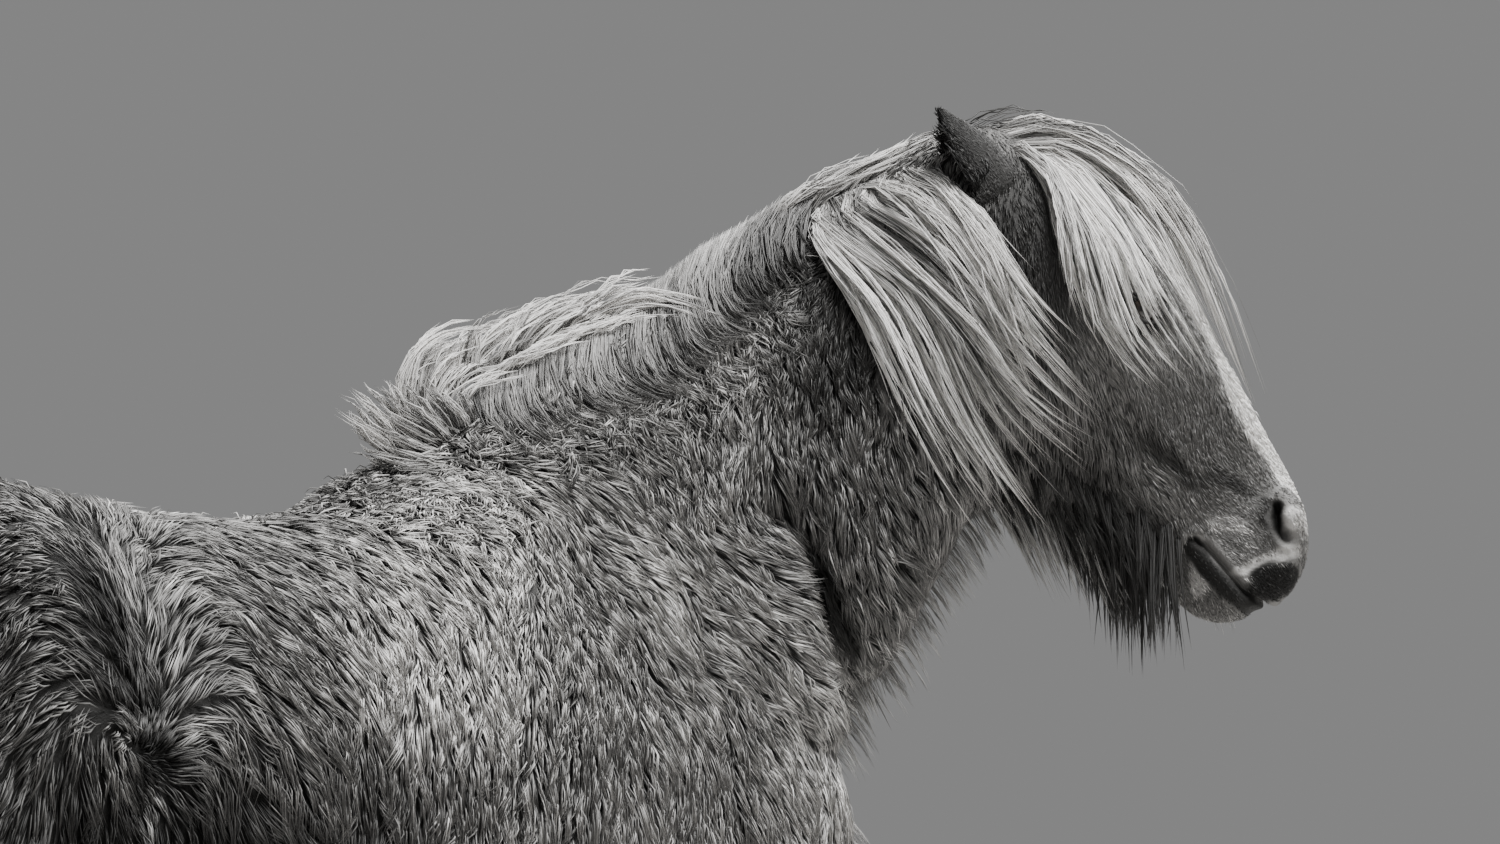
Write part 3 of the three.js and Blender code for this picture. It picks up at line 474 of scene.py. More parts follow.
def ellipse(points, centre, radii, turn=0.0):
    """Distance from a centre in radii, so that 1 is the ellipse's edge."""
    angle = math.radians(turn)
    offset = np.asarray(points, float) - centre
    first = offset[..., 0] * math.cos(angle) + offset[..., 1] * math.sin(angle)
    second = -offset[..., 0] * math.sin(angle) + offset[..., 1] * math.cos(angle)
    return np.hypot(first / radii[0], second / radii[1])


# The plane between neck and head: a point of it, and the way to the head.
THROAT, HEAD_FRONT = np.array([591.0, -178.0, 1297.0]), unit([0.788, -0.616, 0.07])


def headness(points):
    """0 on the neck and 1 on the head."""
    return spread(-30, 50, (np.asarray(points, float) - THROAT) @ HEAD_FRONT)


def legness(points):
    """0 on the trunk and 1 on the legs."""
    return 1 - spread(560, 760, np.asarray(points, float)[..., 2])


def line_distance(spots, line):
    """Distance of a plane's points from a line through others."""
    best = np.full(spots.shape[:-1], np.inf)
    for start, end in zip(line[:-1], line[1:]):
        part = np.clip(((spots - start) @ (end - start)) / ((end - start) @ (end - start)), 0, 1)
        best = np.minimum(best, np.linalg.norm(spots - start - part[..., None] * (end - start), axis=-1))
    return best


def socket_distance(along, up):
    return np.sqrt((along - EYE[0]) ** 2 + (up - EYE[2]) ** 2)


def coat_tone(points):
    """The coat's tone at places on the skin, with the painted light and shade that some markings carry."""
    seen = to_photo(to_right_side(points))
    tone = np.full(len(points), BODY_TONE)
    for centre, radii, turn, mark in MARKINGS.values():
        tone = towards(tone, mark, 1 - spread(*MARK_EDGE, ellipse(seen, centre, radii, turn)))
    # On the side that the photograph doesn't show, the dark marks, partly painted shade, are fainter.
    head = headness(points)
    far = spread(*FAR_SIDE, unbend(points)[0][:, 1]) * (1 - head)
    tone = tone + FAR_FADING * far * np.maximum(0, BODY_TONE - tone)
    tone = towards(tone, LEG_TONE, legness(points))
    along, out, up = in_head(points).T
    edge = towards(BLAZE["half_width"], BLAZE["end_width"], spread(*BLAZE["narrows"], along))
    edge = edge + BLAZE["ragged"] * waves(points, 20, 71)
    blaze = (1 - spread(0, BLAZE["edge"], np.abs(out) - edge)) * spread(10, 40, up) * head
    blaze = blaze * spread(-20, 60, along - BLAZE["from"]) * (1 - spread(-8, 10, along - BLAZE["to"]))
    return towards(tone, BLAZE["tone"], blaze)


# The face's lines and spots, by place along and above the head's axis. A spot is centre, radii, turn, tone.
NOSTRIL_LINE = np.array([[430, 55], [438, 48], [448, 44], [459, 45]])
MOUTH_LINE = np.array([[406, -32], [420, -26], [450, -23], [480, -20], [500, -13], [525, -8]])
LIP_ROLL = np.array([[414, -37], [440, -38], [468, -33], [484, -28], [500, -24], [514, -18]])
CHEEK_CREST = np.array([[215, 12], [262, 4], [318, 6]])
NOSE_HOLLOW = np.array([[225, 58], [330, 52], [405, 46]])
JAW_HOLLOW = np.array([[235, -85], [310, -78], [395, -62]])
LOWER_LIP_TIP = (513, -21)
NOSTRIL_BULB = ((446, 60), (11, 9))
MUZZLE_SPOTS = {
    "mouth_corner": ((408, -36), (7, 14), -30, 0.60),
    "upper_tufts": ((414, 4), (25, 9), 44, 0.66),
    "lower_tufts": ((441, -48), (22, 11), -35, 0.74),
    "pale_lip": ((468, 15), (8, 40), -15, 0.70),
    "pale_bulb": ((447, 60), (12, 15), -30, 0.78),
    "dark_lip": ((488, 9), (19, 25), -14, 0.06),
}
MUZZLE_TONES = {
    # "nostril" is painted shade in the nostril's opening, and "nostril_wing" the paler side it fades to.
    "skin": 0.46, "chin": 0.42, "lip_roll": 0.13, "nostril_rim": 0.25, "socket": 0.23, "nostril": 0.05,
    "nostril_wing": 0.47,
}
SPECKLE, ROLL_SPECKLE = 0.22, 0.07  # how much paler the speckles of the dark lip and of the lip's roll are
CHEEK_OUT = 50  # further out than this from its middle plane the head's side begins


def muzzle_tone(points, tone):
    """The tone with the muzzle's skin, the dark skin of lips and sockets, and the painted shade inside the
    nostrils laid over it.
    """
    along, out, up = in_head(points).T
    flat = np.stack([along, up], -1)
    head = headness(points)
    bare = spread(418, 450, along - 0.35 * np.maximum(up, 0) + 4 * waves(points, 22, 72))
    bare = bare * (1 - spread(20, 42, up) * (1 - spread(462, 476, along)))
    tone = towards(tone, MUZZLE_TONES["skin"], bare)
    tone = towards(tone, MUZZLE_TONES["chin"], spread(-34, -50, up) * spread(400, 430, along) * head)
    speckles = spread(0.7, 1.5, waves(points, 2.5, 73))
    ragged = 0.12 * waves(points, 9, 74)
    for name, (centre, radii, turn, mark) in MUZZLE_SPOTS.items():
        weight = 1 - spread(0.8, 1.2, ellipse(flat, centre, radii, turn) + ragged)
        if name == "dark_lip":
            mark = mark + SPECKLE * speckles
        tone = towards(tone, mark, weight * head)
    roll = 1 - spread(7, 12, line_distance(flat, LIP_ROLL))
    tone = towards(tone, MUZZLE_TONES["lip_roll"] + ROLL_SPECKLE * speckles, roll * head)
    rim = soft(line_distance(flat, NOSTRIL_LINE - [9, 7]), 11)
    tone = towards(tone, MUZZLE_TONES["nostril_rim"], rim * head)
    socket = (1 - spread(19, 33, socket_distance(along, up))) * (np.abs(out) > CHEEK_OUT)
    tone = towards(tone, MUZZLE_TONES["socket"], socket * head)
    # Inside the nostril's slit, painted shade, near black, that grows paler towards its wing.
    inside = (1 - spread(2.4, 8, line_distance(flat, NOSTRIL_LINE))) * (np.abs(out) > 20)
    wing = spread(0, 6, (along - 441) * 0.61 + (up - 48) * 0.79)
    nostril_shade = towards(MUZZLE_TONES["nostril"], MUZZLE_TONES["nostril_wing"], wing)
    return towards(tone, nostril_shade, inside * head)


# Meshes.
def sphere_mesh(name, columns, rows, place):
    """A sphere moved to where place puts its directions: the mesh and those directions."""
    grid = bmesh.new()
    bmesh.ops.create_uvsphere(grid, u_segments=columns, v_segments=rows, radius=1.0)
    spots = np.array([vertex.co for vertex in grid.verts])
    for vertex, spot in zip(grid.verts, to_frame(place(spots))):
        vertex.co = spot
    bmesh.ops.recalc_face_normals(grid, faces=grid.faces)
    mesh = bpy.data.meshes.new(name)
    grid.to_mesh(mesh)
    grid.free()
    return mesh, spots


def add_sphere(body, columns, rows, place):
    """Adds such a sphere to a mesh under work, and gives its first vertex there."""
    draft, _ = sphere_mesh("draft", columns, rows, place)
    first = len(body.verts)
    body.from_mesh(draft)
    bpy.data.meshes.remove(draft)
    return first


def turns_of(spots):
    """Angle around and place along of a sphere's directions."""
    return np.arctan2(spots[:, 1], spots[:, 0]), np.arccos(np.clip(spots[:, 2], -1, 1)) / math.pi


def add_form(body, form, columns, rows, grow):
    """Adds a form's surface, grown by a length or by a function of the place along."""
    def place(spots):
        around, along = turns_of(spots)
        return form.skin(around, along, grow(along) if callable(grow) else grow)

    add_sphere(body, columns, rows, place)


def add_ball(body, centre, radii, turn=0.0):
    """Adds an ellipsoid of the head's frame, turned about the sideways axis."""
    angle = math.radians(turn)

    def place(spots):
        spots = spots * radii
        along = spots[:, 0] * math.cos(angle) + spots[:, 2] * math.sin(angle)
        up = -spots[:, 0] * math.sin(angle) + spots[:, 2] * math.cos(angle)
        return ahead(np.stack([along, spots[:, 1], up], -1) + centre)

    add_sphere(body, 24, 16, place)


def new_object(name, data):
    thing = bpy.data.objects.new(name, data)
    bpy.context.scene.collection.objects.link(thing)
    return thing


def finished(name, mesh, material, material_slot, *replaced):
    """Makes the mesh a piece of the one body, in place of the nodes that it replaces."""
    mesh.materials.append(material)
    mesh.shade_smooth()
    thing = new_object(name, mesh)
    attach(thing, "root")
    if replaced:
        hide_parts(*replaced)


def triangles_of(mesh):
    """A mesh's points in millimetres, and their places in its triangles."""
    mesh.calc_loop_triangles()
    points = np.empty(len(mesh.vertices) * 3)
    mesh.vertices.foreach_get("co", points)
    corners = np.empty(len(mesh.loop_triangles) * 3, int)
    mesh.loop_triangles.foreach_get("vertices", corners)
    return from_frame(points.reshape(-1, 3)), corners.reshape(-1, 3)


def float_attribute(mesh, name, values):
    attribute = mesh.attributes.new(name, "FLOAT", "POINT")
    attribute.data.foreach_set("value", np.asarray(values, np.float32))


def mesh_from_arrays(name, points, triangles):
    """A mesh of the frame's metres from points in millimetres."""
    mesh = bpy.data.meshes.new(name)
    mesh.vertices.add(len(points))
    mesh.vertices.foreach_set("co", to_frame(points).astype(np.float32).ravel())
    mesh.loops.add(triangles.size)
    mesh.loops.foreach_set("vertex_index", triangles.astype(np.int32).ravel())
    mesh.polygons.add(len(triangles))
    mesh.polygons.foreach_set("loop_start", np.arange(0, triangles.size, 3, dtype=np.int32))
    mesh.update(calc_edges=True)
    return mesh


# Skin. It lies below the solids' surface by the coat's depth.
TRUNK_DEPTH, NECK_DEPTH, SHORT_DEPTH = 13.0, 12.0, 5.0
VOXEL, REMESH_SMOOTHING = 11.0, 3
BROW = {"from_eye": (-2, -6, 4), "radii": (34, 23, 24)}
NOSE = {"from_nostril": (0, -6, 0), "radii": (20, 17, 32), "turn": -36}


def leg_depth(along):
    """As deep as the trunk at a leg's top, and as shallow as short hair is from half way down."""
    return towards(-TRUNK_DEPTH, -SHORT_DEPTH, spread(0.2, 0.5, along))


def add_body_forms(body):
    add_form(body, TRUNK_FORM, 96, 96, -TRUNK_DEPTH)
    add_form(body, NECK_FORM, 96, 96, -NECK_DEPTH)
    add_form(body, HEAD_FORM, 96, 96, -SHORT_DEPTH)
    add_form(body, DOCK_FORM, 32, 48, -SHORT_DEPTH)
    for form in LEG_FORMS.values():
        add_form(body, form, 64, 96, leg_depth)
    for side in (-1, 1):
        add_ball(body, mirrored(EYE + BROW["from_eye"], side), BROW["radii"])
        add_ball(body, mirrored(NOSTRIL + NOSE["from_nostril"], side), NOSE["radii"], NOSE["turn"])


def remeshed(draft):
    """The draft's forms grown together into one closed skin."""
    thing = new_object("skin_draft", draft)
    remesh = thing.modifiers.new("Remesh", "REMESH")
    remesh.mode = "VOXEL"
    remesh.voxel_size = VOXEL / PER_METRE
    smooth = thing.modifiers.new("Smooth", "SMOOTH")
    smooth.factor = 0.5
    smooth.iterations = REMESH_SMOOTHING
    mesh = bpy.data.meshes.new_from_object(thing.evaluated_get(bpy.context.evaluated_depsgraph_get()))
    bpy.data.objects.remove(thing)
    bpy.data.meshes.remove(draft)
    return mesh


def refine(mesh, wanted):
    """Cuts every face that the test picks into four."""
    middles = from_frame(np.array([face.calc_center_median() for face in mesh.faces]))
    picked = wanted(middles)
    edges = {edge for face, chosen in zip(mesh.faces, picked) if chosen for edge in face.edges}
    bmesh.ops.subdivide_edges(mesh, edges=list(edges), cuts=1, use_grid_fill=True, smooth=0.0)


# How far the finer mesh reaches round an eye, a nostril and the mouth.
EYE_REACH, NOSTRIL_REACH, MOUTH_REACH = 34, 22, 15


def near_feature(points, reach):
    """Places round the eyes, nostrils and mouth."""
    along, out, up = in_head(points).T
    flat = np.stack([along, up], -1)
    out = np.abs(out)
    eye = np.sqrt((along - EYE[0]) ** 2 + (out - EYE[1]) ** 2 + (up - EYE[2]) ** 2) < EYE_REACH * reach
    nostril = (line_distance(flat, NOSTRIL_LINE) < NOSTRIL_REACH * reach) & (out > 12)
    mouth = line_distance(flat, MOUTH_LINE) < MOUTH_REACH * reach
    return (eye | nostril | mouth) & (headness(points) > 0.5)


def face_relief(points):
    """How far the face's features move the skin along its normal, in millimetres."""
    along, out, up = in_head(points).T
    flat = np.stack([along, up], -1)
    side = spread(14, 34, np.abs(out))
    slit = line_distance(flat, NOSTRIL_LINE)
    mouth = line_distance(flat, MOUTH_LINE)
    lip_tip = np.linalg.norm(flat - LOWER_LIP_TIP, axis=-1)
    ripples = np.sin(up / 2.6 + 1.5 * waves(points, 16, 75))
    wrinkles = ripples * (1 - spread(12, 26, slit)) * spread(6, 11, slit)
    relief = 1.6 * soft(slit - 11, 5) - 14 * soft(slit, 5.0) + 5 * soft(ellipse(flat, *NOSTRIL_BULB), 1)
    relief += 4 * soft(line_distance(flat, CHEEK_CREST), 9) - 3 * soft(line_distance(flat, NOSE_HOLLOW), 13)
    relief += 0.7 * wrinkles - 4 * soft(line_distance(flat, JAW_HOLLOW), 16)
    relief -= 9 * soft(socket_distance(along, up), 15, 4)
    relief *= side
    relief += 2.0 * soft(mouth - 8, 6) - 8.5 * soft(mouth, 3.0)
    relief += 1.6 * soft(line_distance(flat, LIP_ROLL), 8) - 9 * soft(lip_tip, 13)
    return relief * headness(points)


# As seen in the photograph: the fold between neck and shoulder, the flank's line and the whorl at its foot.
SHOULDER_FOLD = np.array([[776, 505], [800, 534], [820, 585], [835, 623], [847, 680]])
FLANK_LINE = np.array([[137, 536], [153, 640], [153, 727], [146, 800]])
FLANK_WHORL = (141, 748)
# Where the coat curls: along the line at which the crest's long hair ends, and at the withers.
CURL_LINE = np.array([[430, 462], [560, 440], [690, 392], [777, 318], [818, 256]])
CURL_WITHERS = ((425, 495), (105, 48), 12)


def ruffled(points):
    """1 where the coat curls and 0 where it lies smooth."""
    seen = to_photo(to_right_side(points))
    withers = 1 - spread(0.5, 1.3, ellipse(seen, *CURL_WITHERS))
    return np.maximum(soft(line_distance(seen, CURL_LINE), 26), withers) * (1 - headness(points))


def body_relief(points):
    """How far the folds of shoulder and flank, and the swell beside them, move the skin along its normal."""
    seen = to_photo(to_right_side(points))
    fold = line_distance(seen, SHOULDER_FOLD)
    flank = line_distance(seen, FLANK_LINE)
    relief = -17 * soft(fold, 17) + 6 * soft(fold - 45, 26)
    relief += -9 * soft(flank, 18) + 3 * soft(flank - 40, 22)
    return relief * (1 - headness(points))


def move_by_relief(mesh):
    mesh.normal_update()
    points = from_frame(np.array([vertex.co for vertex in mesh.verts]))
    normals = np.array([vertex.normal for vertex in mesh.verts])
    moved = points + normals * (face_relief(points) + body_relief(points))[:, None]
    for vertex, place in zip(mesh.verts, to_frame(moved)):
        vertex.co = place


def add_ear(body, side):
    """A thin curled leaf: its front follows its back, save at the closed foot."""
    form = ear_form(side)

    def place(spots):
        around, along = turns_of(spots)
        outer = form.skin(around, along)
        back = form.skin(math.pi - around, along)
        depth = spline(np.array(EAR_DEPTHS)[:, None], along)[:, 0]
        kept = np.where(depth > EAR_LEAF, (depth - EAR_LEAF) / depth, 0)
        share = spread(0.14, 0.3, along) * (np.cos(around) > 0) * kept
        return outer + (back - outer) * share[:, None]

    return add_sphere(body, 48, 48, place)


# An eyelid: its tilt in degrees, half its length, how far it opens, how far its fold reaches from there, how
# much longer the fold's end is, how far it lies off the eyeball, how it swells, and where it leaves the ball.
LID_TILT, LID_HALF_LENGTH = -18, 18.5
LID_OPENING, LID_FOLD = {True: 9.5, False: 7.0}, {True: 13, False: 11}
LID_LENGTHENING, LID_GAP, LID_SWELL, LID_SINK = 0.32, 2.6, 2.4, 16
LID_STEPS, LID_ROWS, LID_BALL_ROWS = 28, 9, 5
LID_END_DEPTH, LID_END_SLOPE = 6.0, 10
LID_INNER = 0.9  # share of the way to the lid's rim at which its inner edge lies


def lid_edge(turn, upper):
    """Places of one row of a lid, as along, up and out of its own plane, from its rim to the fold's end."""
    opening = math.sin(turn) * LID_OPENING[upper]
    edge = []
    for row in range(LID_ROWS):
        part = row / (LID_ROWS - 1)
        up = opening + part * LID_FOLD[upper] * (0.35 + 0.65 * math.sin(turn))
        along = math.cos(turn) * LID_HALF_LENGTH * (1 + LID_LENGTHENING * part)
        if row < LID_BALL_ROWS:
            swell = LID_SWELL * math.sin(math.pi * min(1, part * 2.2)) - LID_SINK * max(0, part - 0.35)
            ball = EYE_RADIUS + LID_GAP + swell
            out = math.sqrt(max(ball * ball - min(math.hypot(up, along), ball * 0.98) ** 2, 0))
        else:
            out = LID_END_DEPTH - LID_END_SLOPE * (part - 0.5)
        edge.append((along, up if upper else -up, out))
    return np.array(edge)


def add_lid(body, side, upper):
    """A lid's fold from the eyeball out to the brow or cheek."""
    tilt = math.radians(LID_TILT)
    axes = np.array([
        [math.cos(tilt), 0, -math.sin(tilt)],
        [math.sin(tilt), 0, math.cos(tilt)],
        [0, side, 0],
    ])
    rows_of = []
    for step in range(LID_STEPS + 1):
        edge = lid_edge(math.pi * step / LID_STEPS, upper) @ axes
        ring = mirrored(EYE, side) + np.vstack([edge[:1] * LID_INNER, edge])
        rows_of.append([body.verts.new(place) for place in to_frame(ahead(ring))])
    for first, second in zip(rows_of[:-1], rows_of[1:]):
        for place in range(LID_ROWS):
            corners = (first[place], second[place], second[place + 1], first[place + 1])
            body.faces.new(corners if (side > 0) == upper else corners[::-1])


def smooth_some(mesh, wanted, factor, times):
    points = from_frame(np.array([vertex.co for vertex in mesh.verts]))
    chosen = [vertex for vertex, picked in zip(mesh.verts, wanted(points)) if picked]
    for _ in range(times):
        bmesh.ops.smooth_vert(
            mesh, verts=chosen, factor=factor, use_axis_x=True, use_axis_y=True, use_axis_z=True)


def shape_face(mesh):
    """Smooths the body and cuts the relief of face, shoulder and flank into a mesh that is finer there."""
    smooth_some(mesh, lambda points: headness(points) < 0.5, 0.5, 8)
    refine(mesh, lambda points: headness(points) > 0.2)
    refine(mesh, lambda points: near_feature(points, 1.35)
           | (in_head(points)[:, 0] > 395) & (headness(points) > 0.9))
    smooth_some(mesh, lambda points: headness(points) > 0.1, 0.5, 2)
    refine(mesh, lambda points: near_feature(points, 0.8))
    move_by_relief(mesh)
    smooth_some(mesh, lambda points: near_feature(points, 1.0), 0.3, 1)


def keep_skin(skin, ears):
    """Keeps what the hair needs of the skin, with the ear that each point is of: 1 left, -1 right, 0 none."""
    points, corners = triangles_of(skin)
    normals = np.empty(len(points) * 3)
    skin.vertices.foreach_get("normal", normals)
    ear_of = np.zeros(len(points), int)
    for side, (first, last) in ears.items():
        spots = in_head(points[first:last])
        ear_of[first:last] = side * (spots[:, 0] < 60) * (np.abs(spots[:, 1]) > 24)
    BUILT["skin"] = {
        "points": points, "corners": corners, "normals": normals.reshape(-1, 3), "ear": ear_of,
        "tree": BVHTree.FromPolygons([Vector(place) for place in points], corners.tolist()),
    }
    return points, ear_of


# Share of the coat's tone that the skin under hair keeps, the rest being painted shade among the hair,
# and what the near and the far side of the face add.
SHADED_UNDER_COAT, SHADED_UNDER_FACE_HAIR, SHADED_UNDER_FAR_FACE_HAIR = 0.36, 0.5, 0.24


def build_skin():
    raw = bmesh.new()
    add_body_forms(raw)
    draft = bpy.data.meshes.new("skin_draft")
    raw.to_mesh(draft)
    raw.free()
    shaped = remeshed(draft)
    mesh = bmesh.new()
    mesh.from_mesh(shaped)
    shape_face(mesh)
    ears = {}
    for side in (-1, 1):
        ears[side] = (add_ear(mesh, side), len(mesh.verts))
        for upper in (True, False):
            add_lid(mesh, side, upper)
    bmesh.ops.recalc_face_normals(mesh, faces=mesh.faces)
    final = bpy.data.meshes.new("skin")
    mesh.to_mesh(final)
    mesh.free()
    bpy.data.meshes.remove(shaped)
    points, ear_of = keep_skin(final, ears)
    tone = np.where(ear_of != 0, EAR_TONE, muzzle_tone(points, coat_tone(points)))
    bare = bareness(points)
    # The far cheek's hair is thinner and lets more skin through, which gets more painted shade.
    far_cheek = in_head(points)[:, 1] > 30
    shaded_under_hair = SHADED_UNDER_COAT + np.where(far_cheek, SHADED_UNDER_FAR_FACE_HAIR, SHADED_UNDER_FACE_HAIR) * headness(points)
    float_attribute(final, "tone", from_srgb(tone * towards(shaded_under_hair, 1, bare)))
    finished(
        "skin", final, skin_material(), "winter_coat", "torso", "neck", "head", "ear_left", "ear_right",
        "forearm_left", "forearm_right", "thigh_left", "thigh_right", "cannon_front_left",
        "cannon_front_right", "cannon_hind_left", "cannon_hind_right")


def bareness(points):
    """1 where the muzzle's and lids' skin shows and 0 where hair hides it."""
    along, out, up = in_head(points).T
    flat = np.stack([along, up], -1)
    slit = np.where(np.abs(out) < 16, np.inf, line_distance(flat, NOSTRIL_LINE))
    bare = np.maximum(1 - spread(5, 14, line_distance(flat, MOUTH_LINE)), 1 - spread(9, 18, slit))
    bare = np.maximum(bare, 0.75 * (1 - spread(8, 13, line_distance(flat, LIP_ROLL))))
    bare = np.maximum(bare, spread(468, 486, along) * (1 - spread(30, 52, up)) * spread(-44, -28, up))
    bare = np.maximum(bare, 1 - spread(0.85, 1.05, ellipse(flat, *MUZZLE_SPOTS["pale_lip"][:3])))
    bare = bare * (1 - 0.8 * (1 - spread(0.9, 1.1, ellipse(flat, *MUZZLE_SPOTS["dark_lip"][:3]))))
    socket = (1 - spread(15, 21, socket_distance(along, up))) * (np.abs(out) > CHEEK_OUT)
    return np.maximum(bare, socket) * headness(points)


# Materials.
def chosen():
    """The sizes and colours that a user can change."""
    return bpy.context.scene.horse_settings


def add_node(tree, kind, settings=None, links=None, place=(0, 0)):
    """One node, with its settings, values of its inputs and links to them."""
    node = tree.nodes.new(kind)
    node.location = place
    for key, value in (settings or {}).items():
        if isinstance(key, str) and hasattr(node, key):
            setattr(node, key, value)
        else:
            node.inputs[key].default_value = value
    for key, output in (links or {}).items():
        tree.links.new(output, node.inputs[key])
    return node


def new_material(name):
    material = bpy.data.materials.new(name)
    material.use_nodes = True
    material.node_tree.nodes.clear()
    return material, material.node_tree


def end_material(tree, settings, links=None):
    """Ends every material alike, with its surface and the output."""
    surface = add_node(tree, "ShaderNodeBsdfPrincipled", settings, links, (300, 0))
    add_node(tree, "ShaderNodeOutputMaterial", None, {"Surface": surface.outputs["BSDF"]}, (600, 0))


def toned(tree):
    """The colour that a piece's own tone gives, from dark to pale hair."""
    tone = add_node(tree, "ShaderNodeAttribute", {"attribute_name": "tone"}, place=(-600, 0))
    ends = {"data_type": "RGBA", 6: chosen().dark_hair, 7: chosen().pale_hair}
    return add_node(tree, "ShaderNodeMix", ends, {0: tone.outputs["Fac"]}, (-300, 0)).outputs[2]


SKIN_GRAIN = 2.2  # millimetres


def skin_material():
    # Skin with a soft, finely wrinkled grain. It shows bare on lips and nostrils, and under the hair it is
    # darkened by painted shade.
    material, tree = new_material("grained_skin")
    spot = add_node(tree, "ShaderNodeTexCoord", place=(-1200, 200))
    grain = add_node(
        tree, "ShaderNodeTexNoise", {"Scale": PER_METRE / SKIN_GRAIN, "Detail": 6.0},
        {"Vector": spot.outputs["Object"]}, (-900, 200))
    bump = add_node(
        tree, "ShaderNodeBump", {"Strength": 0.9, "Distance": 0.0012}, {"Height": grain.outputs["Fac"]})
    end_material(
        tree, {"Roughness": 0.7, "Specular IOR Level": 0.15},
        {"Base Color": toned(tree), "Normal": bump.outputs["Normal"]})
    return material


def coat_material():
    # Dull, dense hair: no gloss of its own but a soft glint along each tuft.
    material, tree = new_material("winter_coat_hair")
    end_material(tree, {"Roughness": 0.62, "Specular IOR Level": 0.3}, {"Base Color": toned(tree)})
    return material


def long_hair_material():
    # Coarse, pale hair with the silky shine that a mane has in flat light.
    material, tree = new_material("pale_mane_hair")
    end_material(tree, {"Roughness": 0.45, "Specular IOR Level": 0.45}, {"Base Color": toned(tree)})
    return material


def material_of(name, maker):
    if name not in BUILT:
        BUILT[name] = maker()
    return BUILT[name]


# Hair. Every tuft or strand is a closed, three-sided spindle along its path. There are far more of them than
# bmesh operators make in good time, so their points are worked out as arrays.
RING = np.array([[-0.5, -0.5], [0.5, -0.5], [0.0, 0.5]])


def spindle_corners(rings):
    """Triangles of one spindle: a root, rings of three and a tip."""
    tip = 1 + 3 * rings
    faces = []
    for side in range(3):
        after = (side + 1) % 3
        faces.append((0, 1 + after, 1 + side))
        for ring in range(rings - 1):
            low, high = 1 + 3 * ring, 4 + 3 * ring
            faces += [(low + side, low + after, high + after), (low + side, high + after, high + side)]
        last = 1 + 3 * (rings - 1)
        faces.append((tip, last + side, last + after))
    return np.array(faces)


BAKE_PATCH = 0.003  # how wide and long a spindle is on the bake map


def spindles(paths, facing, widths, depths, tones, spots):
    """Points, triangles, tones and bake places of spindles along paths of shape (count, points, 3)."""
    count, length = paths.shape[:2]
    rings = length - 2
    tangent = unit(np.gradient(paths, axis=1))
    face = np.broadcast_to(facing if facing.ndim == 3 else facing[:, None], paths.shape)
    face = unit(face - np.sum(face * tangent, -1, keepdims=True) * tangent)
    across = np.cross(tangent, face)
    inner = slice(1, -1)
    rim = (paths[:, inner, None]
           + across[:, inner, None] * (RING[:, 0] * widths[:, inner, None])[..., None]
           + face[:, inner, None] * (RING[:, 1] * depths[:, inner, None])[..., None])
    points = np.concatenate([paths[:, :1], rim.reshape(count, rings * 3, 3), paths[:, -1:]], 1)
    all_tones = np.concatenate([tones[:, :1], np.repeat(tones[:, inner], 3, axis=1), tones[:, -1:]], 1)
    corners = spindle_corners(rings)[None] + (np.arange(count) * points.shape[1])[:, None, None]
    steps = np.concatenate([[0], np.repeat(np.linspace(0, 1, length)[inner], 3), [1]])
    sides = np.concatenate([[0], np.tile(RING[:, 0], rings), [0]])
    uvs = spots[:, None] + BAKE_PATCH * np.stack([sides, steps - 0.5], -1)[None]
    return points.reshape(-1, 3), corners.reshape(-1, 3), all_tones.ravel(), uvs.reshape(-1, 2)


def build_hair(name, parts, material, material_slot, *replaced):
    """Joins spindles into one piece with its tones and bake map."""
    firsts = np.cumsum([0] + [len(part[0]) for part in parts[:-1]])
    points, tones, uvs = (np.concatenate([part[index] for part in parts]) for index in (0, 2, 3))
    corners = np.concatenate([part[1] + first for part, first in zip(parts, firsts)])
    mesh = mesh_from_arrays(name, points, corners)
    float_attribute(mesh, "tone", from_srgb(tones))
    layer = mesh.uv_layers.new(name="OFBake")
    layer.uv.foreach_set("vector", uvs[corners.ravel()].astype(np.float32).ravel())
    finished(name, mesh, material, material_slot, *replaced)


# The bake map's blocks as left, bottom, width and height, and the stretch of the horse that each one holds.
BODY_BLOCK, BODY_STRETCH, BODY_AXIS = (0.02, 0.02, 0.96, 0.46), (-1100, 800), 1080
FACE_BLOCK, FACE_STRETCH, FACE_AXIS = (0.02, 0.52, 0.96, 0.20), (-120, 540), -40
LEG_BLOCK_STEP, LEG_BLOCK_LOW, LEG_BLOCK_SIZE, LEG_BLOCK_TOP = 0.24, 0.76, 0.2, 720
LEG_AXES, LEG_OUT, LEG_SPLIT = {1: 205, -1: -790}, 135, -200


def in_block(block, along, around):
    """Places in a block, by share along it and angle around the axis."""
    left, low, width, height = block
    return np.stack([left + width * np.clip(along, 0, 1), low + height * (around / (2 * math.pi) + 0.5)], -1)


